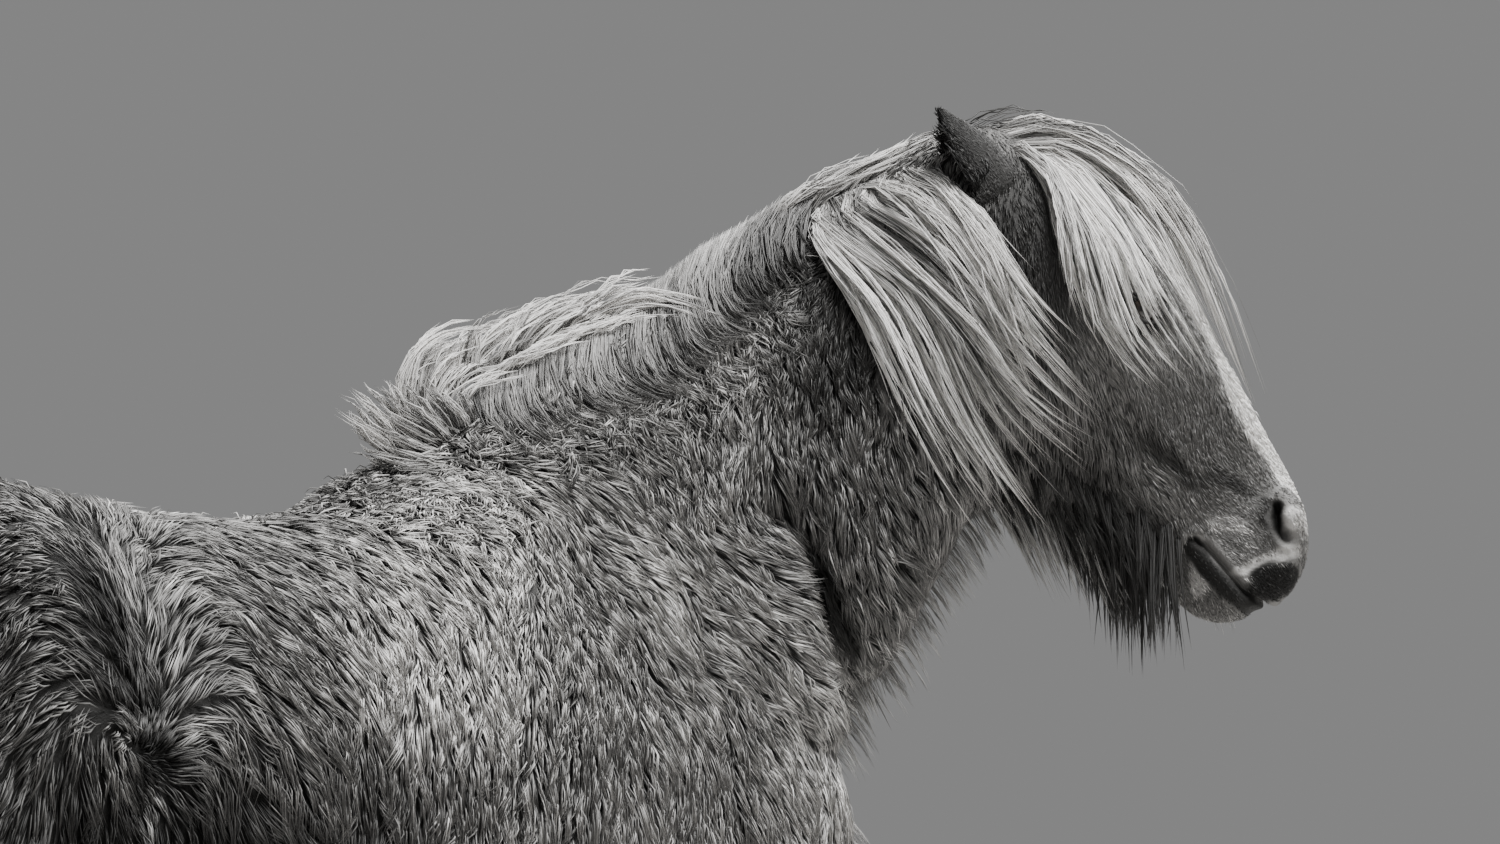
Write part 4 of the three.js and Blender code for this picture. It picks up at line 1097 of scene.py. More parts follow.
def bake_spot(points):
    """Each root's place on an unwrap of the skin: body, head and each leg in a block of its own."""
    along, out, up = unbend(points)[0].T
    share = (along - BODY_STRETCH[0]) / (BODY_STRETCH[1] - BODY_STRETCH[0])
    body = in_block(BODY_BLOCK, share, np.arctan2(out, up - BODY_AXIS))
    face_along, face_out, face_up = in_head(points).T
    share = (face_along - FACE_STRETCH[0]) / (FACE_STRETCH[1] - FACE_STRETCH[0])
    face = in_block(FACE_BLOCK, share, np.arctan2(face_out, face_up - FACE_AXIS))
    spot = np.where((headness(points) > 0.5)[:, None], face, body)
    for index, (front, left) in enumerate(((1, 1), (1, -1), (-1, 1), (-1, -1))):
        inside = (up < LEG_BLOCK_TOP) & ((along > LEG_SPLIT) == (front > 0)) & ((out > 0) == (left > 0))
        block = (BODY_BLOCK[0] + LEG_BLOCK_STEP * index, LEG_BLOCK_LOW, LEG_BLOCK_SIZE, LEG_BLOCK_SIZE)
        around = np.arctan2(np.abs(out) - LEG_OUT, along - LEG_AXES[front])
        leg = in_block(block, (LEG_BLOCK_TOP - up) / LEG_BLOCK_TOP, around)
        spot = np.where(inside[:, None], leg, spot)
    return spot


# The lie of the coat, read off the photograph: column and row, then how far right and down the hair points.
LIE_SEEN = {
    "hip": (
        (30, 500, -1, -.25), (70, 515, -.8, -.5), (100, 530, -.5, -.85), (80, 560, -.6, -.8),
        (60, 545, -.97, -.1), (100, 570, -.55, -.83), (100, 605, -.6, -.8), (85, 598, -.75, -.65),
        (66, 578, -1, .05), (62, 612, -.97, .2), (70, 645, -.97, .15), (92, 668, -.97, -.1),
        (82, 690, -.8, .6), (40, 548, -.9, .4), (18, 550, -.75, .65), (30, 572, -.75, .65),
        (30, 600, -.7, .7), (18, 632, -.6, .8), (42, 642, -.7, .7), (30, 680, -.55, .84),
        (8, 690, -.35, .94), (52, 690, -.6, .8), (8, 600, -.6, .8), (5, 540, -.6, .8), (75, 665, -.85, .5),
        (40, 730, -.4, .9), (10, 760, -.4, .9), (60, 760, -.3, .95), (85, 728, -.1, 1),
        (100, 770, -.05, 1), (90, 800, -.1, 1), (50, 810, -.35, .94), (113, 752, .1, 1), (110, 800, 0, 1),
        (20, 820, -.3, .95),
    ),
    "flank": (
        (120, 650, -.5, -.87), (120, 700, -.4, -.92), (125, 610, -.45, -.9), (140, 660, -.25, -.97),
        (140, 730, -.3, -.95), (147, 695, -.1, -1), (125, 560, -.15, -1), (122, 532, -.1, -1),
        (152, 745, .05, -1), (158, 620, .15, -1), (160, 660, .2, -.98), (162, 700, .35, -.94),
        (138, 575, .2, -.98), (146, 592, .6, -.8), (150, 562, 1, 0), (165, 582, 1, -.1),
        (190, 592, .85, .5), (172, 640, .6, -.8), (190, 632, .97, -.2), (200, 650, .95, .3),
        (222, 640, .85, .5), (242, 640, .7, .7), (175, 678, .65, -.76), (186, 668, .85, -.5),
        (201, 676, .95, .3), (220, 690, .75, .65), (236, 702, .6, .8), (172, 712, .8, -.6),
        (190, 704, .95, .1), (208, 722, .55, .83), (170, 742, .85, -.5), (190, 730, .95, .2),
        (204, 748, .5, .87), (172, 762, .8, -.2), (190, 766, .6, .8), (210, 770, .35, .94),
        (165, 790, .6, .8), (178, 805, .25, .97), (150, 815, .3, .95), (140, 785, .3, .95),
        (130, 770, .2, 1), (204, 795, .25, .97), (271, 759, .3, .95), (383, 791, 0, 1),
    ),
    "back": (
        (191, 542, .9, .45), (255, 545, .95, .3), (319, 523, .9, .2), (351, 567, .85, .55),
        (287, 577, .85, .5), (223, 600, .7, .7), (287, 631, .7, .7), (439, 469, .7, .5),
        (478, 536, .4, .9),
    ),
    "ribs": (
        (351, 631, .45, .9), (399, 600, .6, .8), (415, 663, .25, .97), (351, 727, .15, .99),
        (447, 727, 0, 1), (447, 568, .6, .8), (472, 623, .05, 1), (536, 623, .1, 1), (536, 719, 0, 1),
        (536, 783, -.05, 1),
    ),
    "shoulder": (
        (536, 528, .35, .93), (548, 469, .8, .5), (600, 496, .75, .66), (663, 480, .35, .9),
        (727, 464, .1, 1), (631, 559, .75, .65), (695, 559, .8, .6), (759, 544, .9, .45),
        (759, 591, .85, .5), (791, 579, .95, .2), (727, 623, .8, .6), (791, 639, .75, .65),
        (759, 671, .7, .7), (823, 687, .6, .8), (663, 623, .6, .8), (599, 623, .3, .95),
        (631, 719, .15, .99), (727, 719, .35, .93), (791, 751, .35, .93), (823, 767, .25, .97),
        (695, 783, .1, 1),
    ),
    "neck": (
        (791, 432, .1, 1), (823, 496, .15, 1), (886, 496, .3, .95), (918, 448, .4, .9),
        (870, 559, .35, .93), (839, 591, .3, .95), (902, 591, .35, .93), (855, 655, .3, .95),
        (902, 639, .4, .9), (748, 382, .15, 1), (839, 418, .1, 1),
    ),
    "crest": (
        (494, 418, .35, .93), (584, 382, .25, .97), (606, 418, .8, .55), (657, 364, .2, .98),
        (693, 374, .5, .85), (712, 338, .3, .95), (730, 364, .8, .4), (730, 273, .1, 1),
        (784, 254, -.3, .95),
    ),
    "cheek": (
        (1083, 457, -.2, .98), (1060, 473, -.35, .94), (1117, 447, .3, .95), (1140, 440, .6, .8),
        (1150, 463, .8, .6), (1180, 490, .3, .95), (1117, 520, -.05, 1), (1083, 520, 0, 1),
        (1160, 547, .1, 1), (1173, 520, .25, .97), (1033, 497, .2, .98), (1033, 430, .2, .98),
        (1100, 397, .3, .95), (1167, 393, .3, .95), (1007, 188, -.1, 1), (1023, 199, .3, .95),
        (1044, 231, .2, .98), (1049, 273, .1, 1), (1100, 330, .4, .9), (1150, 250, .5, .85),
    ),
    "muzzle": (
        (1200, 513, .6, .8), (1230, 523, .95, .35), (1227, 480, .8, .6), (1200, 420, .2, .98),
        (1247, 463, .5, .87), (1200, 573, .7, .7), (1217, 610, .5, .85), (1247, 613, .7, .7),
        (1253, 490, .6, .8), (1290, 480, .5, .87), (1253, 430, .5, .87), (1300, 540, .3, .95),
        (1273, 580, .6, .8),
    ),
}
# Where the photograph doesn't reach, the coat lies as the species' does: a place along, out and up, then a
# direction, both on the straightened horse's left half.
LIE_UNSEEN = (
    ((-760, 60, 1330), (-.7, .4, -.4)), ((-880, 80, 1240), (-.5, .3, -.9)),
    ((-905, 90, 1080), (-.1, .1, -1)), ((-800, 190, 1000), (-.1, 0, -1)), ((-620, 230, 900), (.1, 0, -1)),
    ((-450, 230, 830), (.3, 0, -.9)), ((-300, 150, 740), (-.5, 0, -.6)), ((0, 60, 715), (-.9, 0, -.2)),
    ((200, 60, 745), (-.8, .1, -.4)), ((430, 60, 860), (-.3, .1, -1)), ((480, 50, 960), (.05, .2, -1)),
    ((490, 40, 1060), (.1, .2, -1)), ((300, 190, 900), (0, 0, -1)), ((250, 150, 720), (0, 0, -1)),
    ((-700, 150, 720), (-.1, 0, -1)), ((520, 40, 1150), (.15, .1, -1)), ((600, 60, 1300), (.2, .1, -1)),
)
# The same on the head, in its own frame.
LIE_HEAD = (
    ((200, 10, -120), (1, .1, -.3)), ((330, 10, -90), (1, 0, -.3)), ((440, 10, -70), (1, 0, 0)),
    ((80, 20, 95), (1, .3, 0)), ((200, 10, 85), (1, .2, 0)), ((350, 10, 70), (1, .15, 0)),
    ((40, 20, -150), (.6, 0, -.8)),
)


LIFT_SEEN = 0.12  # how much the hair's lift shifts the way it seems to lie
GRAZING = -0.25  # no surface is taken to be seen at a flatter angle than this
RAY_LENGTH = 12000.0


def read_lie():
    """Keeps the samples as places of the straightened horse's left half, with directions in that frame."""
    tree = BUILT["skin"]["tree"]
    places, ways = [], []
    for column, row, right, down in (sample for group in LIE_SEEN.values() for sample in group):
        across, height = column - PHOTO_SIZE[0] / 2, PHOTO_SIZE[1] / 2 - row
        sight = VIEW_IN + (VIEW_RIGHT * across + UPWARD * height) / FOCAL_PIXELS
        hit, normal, _, _ = tree.ray_cast(Vector(VIEW_FROM), Vector(sight), RAY_LENGTH)
        if hit is None:
            continue
        place, axes = unbend(np.array([hit]))
        normal = np.array(normal)
        way = right * VIEW_RIGHT - down * UPWARD - LIFT_SEEN * normal
        # Moved along the line of sight until it lies in the skin, so that it looks as it did.
        way = way - VIEW_IN * (way @ normal) / min(VIEW_IN @ normal, GRAZING)
        side = -1 if place[0, 1] < 0 else 1
        places.append(mirrored(place[0], side))
        ways.append(mirrored(axes[0] @ way, side))
    for place, way in LIE_UNSEEN:
        places.append(place)
        ways.append(way)
    for place, way in LIE_HEAD:
        place, axes = unbend(ahead([place]))
        places.append(place[0])
        ways.append(axes[0] @ (np.array(way, float) @ HEAD_AXES))
    BUILT["lie"] = (np.array(places, float), unit(ways))


BATCH = 8000  # places whose lie is worked out together
LIE_SOFTNESS, LIE_POWER = 22, 5  # a sample's pull falls with this power of the distance and the softness
LEG_LIE = np.array([-0.06, 0, -1])
WANDER, CURL_WANDER, TUFT_WANDER = 0.28, 0.5, 0.09  # in radians, how far hair strays from its lie


def lie_of(points, normals, seed):
    """The direction in which hair lies at each place, tangent to the skin."""
    places, axes = unbend(points)
    sides = np.sign(places[:, 1])
    sides[sides == 0] = 1
    spots = np.stack([places[:, 0], np.abs(places[:, 1]), places[:, 2]], -1)
    known, ways = BUILT["lie"]
    way = np.zeros_like(points)
    for first in range(0, len(points), BATCH):
        part = slice(first, first + BATCH)
        gap = np.linalg.norm(spots[part, None] - known[None], axis=-1)
        weight = 1 / (gap + LIE_SOFTNESS) ** LIE_POWER
        way[part] = (weight[..., None] * ways[None]).sum(1) / weight.sum(1)[:, None]
    way = towards(way, LEG_LIE, legness(points)[:, None])
    # Hair on the middle plane leans to neither side.
    way[:, 1] *= sides * spread(-10, 70, spots[:, 1])
    way = np.einsum("ni,nij->nj", way, axes)
    tangent = unit(way - np.sum(way * normals, -1, keepdims=True) * normals)
    draw = np.random.default_rng(seed)
    curls = ruffled(points)
    angle = WANDER * (waves(points, 42, 61) * 0.7 + waves(points, 17, 62) * (0.4 + 1.3 * curls))
    angle += CURL_WANDER * curls * waves(points, 9, 63)
    angle = angle * (1 - 0.5 * headness(points)) + draw.normal(0, TUFT_WANDER, len(points))
    across = np.cross(normals, tangent)
    return tangent * np.cos(angle)[:, None] + across * np.sin(angle)[:, None]


def scatter(count, weights, seed):
    """Places spread evenly over the skin by each triangle's weight, with their normals and ears."""
    skin = BUILT["skin"]
    corners = skin["corners"]
    draw = np.random.default_rng(seed)
    reach = np.cumsum(weights)
    picks = np.searchsorted(reach, (np.arange(count) + draw.uniform(0, 1, count)) / count * reach[-1])
    picks = np.minimum(picks, len(corners) - 1)
    first, second = draw.uniform(0, 1, (2, count, 1))
    over = first + second > 1
    first, second = np.where(over, 1 - first, first), np.where(over, 1 - second, second)

    def between(values):
        a, b, c = (values[corners[picks, step]] for step in range(3))
        return a + (b - a) * first + (c - a) * second

    return between(skin["points"]), unit(between(skin["normals"])), skin["ear"][corners[picks, 0]]


def triangle_facts():
    """Middle, outward direction, area and ear of each of the skin's triangles."""
    skin = BUILT["skin"]
    a, b, c = (skin["points"][skin["corners"][:, step]] for step in range(3))
    cross = np.cross(b - a, c - a)
    area = np.linalg.norm(cross, axis=-1) / 2
    return (a + b + c) / 3, unit(cross), area, skin["ear"][skin["corners"][:, 0]]


# Length, width and lift of the coat's tufts on the trunk, what each zone adds to them, then those of the legs
# and the face, with what jaw and muzzle add.
TRUNK_HAIR = (47.0, 1.75, 8.2)
ZONE_HAIR = {
    "hind": (12, 0.1, 2.0),
    "back": (-10, 0, 0),
    "belly": (16, 0, 2.0),
    "chest": (10, 0, 0),
    "neck": (-8, -0.15, -0.8),
    "parting": (-18, 0, -1.5),
}
LEG_HAIR = (17, 2.5, 3.5)
FACE_HAIR, JAW_HAIR, MUZZLE_HAIR = (17, 1.05, 2.4), (24, 0.5, 4.5), (-9, -0.15, -1.1)
THROAT_CUT = (0.15, 0.3, 0.55)  # shares by which the throat's hair is shorter, finer and flatter
CURL_CUT, WHORL_CUT = 0.36, 0.45  # shares by which curls and the flank's whorl are shorter


def coat_facts(points):
    """Length, width and lift of the coat's tufts at each place."""
    along, out, up = unbend(points)[0].T
    seen = to_photo(to_right_side(points))
    zones = {
        "hind": spread(-250, -420, along),
        "back": spread(1230, 1330, up) * (1 - spread(100, 250, along)),
        "belly": 1 - spread(730, 860, up),
        "chest": spread(380, 480, along) * (1 - spread(1050, 1200, up)),
        "neck": spread(150, 350, along),
        "parting": soft(line_distance(seen, FLANK_LINE), 70),
    }
    facts = TRUNK_HAIR + sum(share[:, None] * ZONE_HAIR[zone] for zone, share in zones.items())
    facts[:, 0] *= 1 - CURL_CUT * ruffled(points)
    facts[:, 0] *= 1 - WHORL_CUT * soft(np.linalg.norm(seen - FLANK_WHORL, axis=-1), 30)
    # The throat's outline is soft and fine.
    throat = spread(390, 460, along) * (1 - spread(45, 100, np.abs(out))) * spread(930, 1000, up)
    facts *= 1 - throat[:, None] * THROAT_CUT
    facts = towards(facts, LEG_HAIR, legness(points)[:, None])
    face_along, _, face_up = in_head(points).T
    jaw = spread(40, -110, face_up) * (1 - spread(340, 420, face_along))
    face = FACE_HAIR + jaw[:, None] * JAW_HAIR + spread(330, 430, face_along)[:, None] * MUZZLE_HAIR
    return towards(facts, face, headness(points)[:, None]).T


CLUMP_CHOICES, CLUMP_SIZE = 6, 11  # leaders that a tuft chooses from, and tufts to each leader
CLUMP_STRETCH = 0.8  # how much less a gap along the hair counts than one across it


def clump_heads(points, ways, seed):
    """For each tuft, the tuft that leads its clump. Clumps are longer along the hair than across it."""
    draw = np.random.default_rng(seed)
    leaders = draw.choice(len(points), max(CLUMP_CHOICES, len(points) // CLUMP_SIZE), replace=False)
    tree = KDTree(len(leaders))
    for index, leader in enumerate(leaders):
        tree.insert(points[leader], index)
    tree.balance()
    near = np.array([[found[1] for found in tree.find_n(point, CLUMP_CHOICES)] for point in points])
    gaps = points[leaders[near]] - points[:, None]
    along = np.sum(gaps * ways[:, None], -1)
    measure = np.sum(gaps ** 2, -1) - CLUMP_STRETCH * along ** 2
    return leaders[near[np.arange(len(points)), np.argmin(measure, 1)]]


LOOSE_SHARE, LOOSE_LIFT = 0.03, 1.9  # share of the tufts that stand above the rest, and how much higher
ROOT_DEPTH = 2.5  # how far a tuft's root lies in the skin
RISE = 1.9  # how far a tuft's rise follows a sine, in radians, so that it is highest before its tip
TUFT_TAPER = ((0, 0.12, 0.45, 0.75, 1), (0.5, 0.75, 1.0, 0.72, 0.0))
# A tuft's tone from root to tip: darker at the root as painted shade deep in the coat, and paler at the tip.
TUFT_DEPTH_SHADE = ((0, 0.5, 0.8, 1), (0.5, 0.98, 1.08, 1.16))


def tufts(points, normals, ways, rings, seed, length, width, lift, tone, pull, curly, vary):
    """Tufts that rise from the skin to the coat's surface, and lean to the tip of their clump."""
    draw = np.random.default_rng(seed)
    count = len(points)
    heads = clump_heads(points, ways, seed + 3)
    length = length * draw.uniform(0.75, 1.25, count) * draw.normal(1, 0.14, count)[heads]
    width = width * draw.uniform(0.7, 1.3, count)
    height = draw.uniform(0.5, 1.05, count) * draw.uniform(0.72, 1.12, count)[heads]
    loose = draw.uniform(0, 1, count) < LOOSE_SHARE
    rise = lift * height * np.where(loose, LOOSE_LIFT, 1.0)
    steps = np.linspace(0, 1, rings + 2)
    curl = (draw.normal(0, 0.05, count) + draw.normal(0, 0.12, count)[heads]) * length * curly
    wave = draw.normal(0, 0.05, count)[heads] * length * curly
    onwards = length[:, None] * steps * (1 - 0.08 * steps)
    upwards = rise[:, None] * np.sin(steps * RISE) / math.sin(RISE) - ROOT_DEPTH * (1 - steps) ** 3
    aside = curl[:, None] * steps ** 2 + wave[:, None] * np.sin(steps * 5.5)
    paths = (points[:, None] + ways[:, None] * onwards[..., None] + normals[:, None] * upwards[..., None]
             + np.cross(normals, ways)[:, None] * aside[..., None])
    tips = paths[:, -1]
    drawn = tips[heads] - tips
    drawn = drawn - 0.55 * ways * np.sum(drawn * ways, -1, keepdims=True)
    drawn *= np.minimum(1, 0.8 * length / (1 + np.linalg.norm(drawn, axis=-1)))[:, None]
    paths = paths + drawn[:, None] * (pull * steps ** 1.5)[None, :, None]
    widths = width[:, None] * np.interp(steps, *TUFT_TAPER)
    # Tufts that lie lower in the coat are darker, as painted shade under the higher ones; the rest of their
    # tone differs at random.
    light = 1 + vary * (0.64 * height - 0.52)
    light *= draw.normal(1.0, 0.21 * vary, count) * draw.normal(1.0, 0.12 * vary, count)[heads]
    tones = (tone * light)[:, None] * np.interp(steps, *TUFT_DEPTH_SHADE)
    return spindles(paths, normals, widths, widths * 0.5, tones, bake_spot(points))


COAT_PIECES = {
    # Tufts, rings in each, seed.
    "coat_right_hind": (26500, 1, 101),
    "coat_right_trunk": (32000, 1, 102),
    "coat_right_shoulder": (32000, 1, 103),
    "coat_neck_right": (32000, 1, 104),
    "coat_neck_left": (7000, 1, 108),
    "coat_left": (15500, 1, 105),
    "coat_legs": (10000, 1, 106),
    "coat_head_right": (29000, 1, 107),
    "coat_head_left": (11000, 1, 109),
    "coat_curls": (3200, 2, 110),
}
# Where these pieces meet: how far along hind and shoulder reach, and how high the legs' coat starts and ends.
HIND_REACH, SHOULDER_REACH, LEG_COAT_TOP, LEG_COAT_FOOT = -330, 60, 700, 90
FACING_AWAY = 0.12  # a face that looks further away from the photograph's view than this is on the far side


def piece_weights(name, middle, outward, area, ear):
    """How many tufts each triangle of the skin bears in a piece, against the others."""
    along, _, up = unbend(middle)[0].T
    head = (headness(middle) > 0.5) | (ear != 0)
    legs = (up < LEG_COAT_TOP) & ~head
    neck = ~head & ~legs & (along - 0.7 * (up - 1100) > 60) & (along > 120) & (up > 960)
    trunk = ~head & ~legs & ~neck
    near = outward @ VIEW_IN < FACING_AWAY
    picked = {
        "coat_right_hind": trunk & near & (along < HIND_REACH),
        "coat_right_trunk": trunk & near & (along >= HIND_REACH) & (along < SHOULDER_REACH),
        "coat_right_shoulder": trunk & near & (along >= SHOULDER_REACH),
        "coat_neck_right": neck & near,
        "coat_neck_left": neck & ~near,
        "coat_left": trunk & ~near,
        "coat_legs": legs & (up > LEG_COAT_FOOT),
        "coat_head_right": head & near,
        "coat_head_left": head & ~near,
        "coat_curls": (trunk | neck) & near,
    }[name]
    weight = area * picked
    if name == "coat_right_hind":
        weight = weight * np.where(up > 900, 1.0, 0.5)
        weight = weight * (1 + 0.9 * soft(line_distance(to_photo(middle), FLANK_LINE), 26))
    if name in ("coat_right_hind", "coat_right_trunk", "coat_left"):
        seen = to_photo(to_right_side(middle))
        weight = weight * (1 + 5 * soft(np.linalg.norm(seen - FLANK_WHORL, axis=-1), 24))
    if name == "coat_curls":
        weight = weight * ruffled(middle) ** 2
    if name.startswith("coat_head"):
        muzzle = spread(230, 360, in_head(middle)[:, 0])
        weight = weight * (1 - bareness(middle)) * np.where(ear != 0, 1.6, 0.8 + 0.9 * muzzle)
    return weight


# The ears' hair, inside and on the back.
EAR_HAIR = {"length": (15, 9), "lift": (4, 0.8), "width": (1.1, 0.85), "tone": (0.13, 0.29)}


def lay_ear_hair(points, normals, ears, ways, look):
    """Turns the ears' hair towards their tips, where it is shorter and flatter, and gives it its own look."""
    high = spread(-45, -80, in_head(points)[:, 0])
    for side in (-1, 1):
        mine = ears == side
        axis = unit(mirrored(EAR_TIP, side) - mirrored(EAR_ROOT, side)) @ HEAD_AXES
        way = unit(axis - np.sum(axis * normals, -1, keepdims=True) * normals)
        ways = np.where(mine[:, None], way, ways)
        inside = mine & (normals @ (unit(mirrored(EAR_OPENING, side)) @ HEAD_AXES) > 0.15)
        for key, (within, behind) in EAR_HAIR.items():
            look[key] = np.where(mine, np.where(inside, within, behind), look[key])
        look["length"] = np.where(mine, look["length"] * (1 - 0.5 * high), look["length"])
        look["lift"] = np.where(inside, look["lift"] - 2.6 * high, look["lift"])
    return ways


CLUMP_PULL, FACE_PULL = 0.62, 0.31  # share of the way to its clump's tip that a tuft's tip goes
LEFT_WIDENING, LEFT_FACE_WIDENING, LEFT_FACE_LENGTHENING = 1.6, 1.35, 1.25  # the left side's tufts are fewer


def fewer(count):
    """The number of tufts or locks that are made: all of them."""
    return count


def build_coat(name):
    count, rings, seed = COAT_PIECES[name]
    points, normals, ears = scatter(fewer(count), piece_weights(name, *triangle_facts()), seed)
    ways = lie_of(points, normals, seed)
    curls = ruffled(points)
    length, width, lift = coat_facts(points)
    look = {
        "length": length * chosen().coat_length, "width": width, "lift": lift * (1 + 0.25 * curls),
        "tone": coat_tone(points) * (1 - 0.1 * curls), "pull": CLUMP_PULL, "curly": 1 + 2.2 * curls,
        "vary": 1.0,
    }
    if name == "coat_curls":
        look["length"] = look["length"] * 0.95
        look["width"] = look["width"] * 1.2
        look["lift"] = look["lift"] + 1.5
        look["tone"] = look["tone"] * 0.92
        look["curly"] = 4.0
    if name.startswith("coat_head"):
        look["pull"], look["curly"] = FACE_PULL, 0.5
        look["vary"] = 0.5 + 0.45 * spread(380, 420, in_head(points)[:, 0])
        look["tone"] = muzzle_tone(points, look["tone"])
        ways = lay_ear_hair(points, normals, ears, ways, look)
    if name.endswith("left"):
        look["width"] = look["width"] * LEFT_WIDENING
    if name == "coat_head_left":
        look["width"] = look["width"] * LEFT_FACE_WIDENING
        look["length"] = look["length"] * LEFT_FACE_LENGTHENING
    part = tufts(points, normals, ways, rings, seed + 50, **look)
    build_hair(name, [part], material_of("coat", coat_material), "winter_coat")


# Long hair. A stroke is the lie of one lock, as across and height in the view square to the turned head.
MANE_STROKES = (
    ((435, 1625), (405, 1605), (410, 1570), (450, 1520), (480, 1455), (515, 1385), (575, 1290)),
    ((450, 1630), (402, 1608), (460, 1560), (510, 1520), (540, 1460), (575, 1385), (640, 1295)),
    ((470, 1640), (425, 1615), (490, 1560), (530, 1520), (570, 1475), (605, 1430), (680, 1375)),
    ((495, 1655), (460, 1630), (510, 1610), (555, 1570), (590, 1520), (625, 1475), (690, 1400)),
    ((518, 1665), (500, 1655), (530, 1640), (562, 1615), (583, 1585), (612, 1540), (645, 1500)),
)
MANE_TOP_STROKES = (
    ((437, 1631), (471, 1634), (510, 1601), (549, 1543), (583, 1470), (627, 1382)),
    ((466, 1645), (500, 1642), (534, 1611), (569, 1562), (593, 1509), (617, 1451)),
    ((491, 1655), (520, 1652), (552, 1620), (583, 1572), (604, 1520), (622, 1470)),
)
CREST_STROKES = (
    ((77, 1455), (72, 1418), (83, 1390), (105, 1374)),
    ((121, 1478), (118, 1434), (132, 1401), (159, 1382)),
    ((176, 1505), (167, 1461), (180, 1423), (214, 1412)),
    ((224, 1526), (219, 1478), (235, 1439), (274, 1425)),
    ((257, 1548), (252, 1499), (268, 1455), (295, 1445)),
    ((295, 1578), (285, 1532), (301, 1488), (339, 1480)),
    ((339, 1602), (322, 1560), (333, 1519), (363, 1505)),
    ((377, 1625), (360, 1592), (360, 1554), (377, 1532)),
    ((410, 1636), (395, 1608), (388, 1575), (398, 1554)),
)
TUFT_STROKES = (
    ((14, 1338), (-14, 1362), (-48, 1374)),
    ((15, 1344), (-17, 1386), (-54, 1422)),
    ((18, 1350), (-7, 1402), (-41, 1442)),
    ((22, 1352), (4, 1412), (-12, 1446)),
    ((25, 1356), (2, 1422), (12, 1474), (48, 1498), (88, 1501)),
    ((36, 1366), (30, 1426), (54, 1460), (98, 1472)),
)
# The tuft's short, bushy foot, which stands out to the side.
BUSH_STROKES = (
    ((52, 1352), (14, 1346), (-24, 1352)),
    ((56, 1360), (14, 1372), (-34, 1390)),
    ((60, 1366), (24, 1392), (-18, 1420)),
    ((64, 1372), (38, 1404), (10, 1438)),
    ((72, 1380), (62, 1410), (46, 1436)),
)
WISP_STROKES = (
    ((170, 1500), (205, 1522), (240, 1529), (285, 1520), (336, 1502)),
    ((180, 1497), (212, 1517), (245, 1524), (285, 1514), (320, 1500)),
)
WIND_STROKES = (
    ((22, 1405), (36, 1446), (64, 1464), (105, 1474)),
    ((66, 1440), (80, 1478), (110, 1499), (152, 1508)),
    ((115, 1466), (138, 1498), (176, 1518), (226, 1526)),
    ((170, 1498), (202, 1523), (236, 1535), (280, 1533)),
)
WIND_LOW_STROKES = (
    ((34, 1392), (52, 1424), (84, 1440), (124, 1447)),
    ((84, 1428), (104, 1458), (138, 1473), (182, 1480)),
    ((140, 1462), (164, 1486), (200, 1500), (250, 1508)),
    ((190, 1486), (218, 1506), (254, 1516), (300, 1512)),
)
POLL_STROKES = (
    ((355, 1590), (372, 1618), (405, 1636), (440, 1646)),
    ((400, 1600), (420, 1632), (458, 1656), (505, 1676)),
    ((445, 1612), (465, 1648), (500, 1671), (548, 1690)),
)
LOOSE_STROKES = (
    ((545, 1690), (564, 1702), (590, 1709), (623, 1709), (655, 1706)),
    ((548, 1686), (575, 1697), (600, 1701), (628, 1699), (650, 1692)),
)
FORELOCK_STROKES = (
    ((572, 1640), (606, 1672), (636, 1645), (645, 1610), (650, 1555), (655, 1510)),
    ((568, 1650), (610, 1675), (648, 1620), (664, 1565), (685, 1490), (732, 1435)),
    ((556, 1662), (630, 1662), (675, 1610), (705, 1565), (730, 1490), (782, 1435)),
    ((552, 1665), (645, 1672), (700, 1625), (735, 1575), (765, 1520), (805, 1450)),
    ((548, 1668), (640, 1690), (705, 1662), (750, 1615), (785, 1550), (835, 1430)),
    ((545, 1670), (615, 1704), (685, 1682), (750, 1638), (797, 1560), (846, 1418)),
)


def middle_depth(across):
    """How deep in the view the middle plane of neck and head lies, by the place across."""
    tops = np.vstack([NECK_FORM.tops, HEAD_FORM.tops[4:]])
    return np.interp(across, tops @ VIEW_RIGHT, tops @ VIEW_IN)


FALL = 8.0  # how much further in than the point before it a free-hanging lock may reach
SURFACING = 3.2  # a lock has come from the middle plane to the surface at 1 / SURFACING of its length
RAY_START = 3000.0  # how far before the middle plane the rays start


def laid(flat, near, height, overhang):
    """Brings paths of across and height onto the horse, from its near or its far side."""
    tree = BUILT["skin"]["tree"]
    sight = VIEW_IN * near
    middle = middle_depth(flat[..., 0])
    count, length = flat.shape[:2]
    depth = np.empty((count, length))
    for index in range(count):
        last = None
        for step in range(length):
            across, up = flat[index, step]
            start = VIEW_RIGHT * across + UPWARD * up - sight * RAY_START
            hit, _, _, _ = tree.ray_cast(Vector(start), Vector(sight), RAY_LENGTH)
            if hit is None:
                found = middle[index, step] if last is None or not overhang else last
            else:
                found = float(np.dot(hit, VIEW_IN))
                if last is not None and overhang:
                    found = last + near * min(near * (found - last), FALL)
            last = found
            depth[index, step] = found
    surfaced = np.minimum(1, np.linspace(0, 1, length) * SURFACING)
    depth = depth - near * height[:, None] * surfaced
    depth = middle + (depth - middle) * surfaced
    smooth = depth.copy()
    smooth[:, 1:-1] = (depth[:, :-2] + 2 * depth[:, 1:-1] + depth[:, 2:]) / 4
    return flat[..., :1] * VIEW_RIGHT + smooth[..., None] * VIEW_IN + flat[..., 1:] * UPWARD


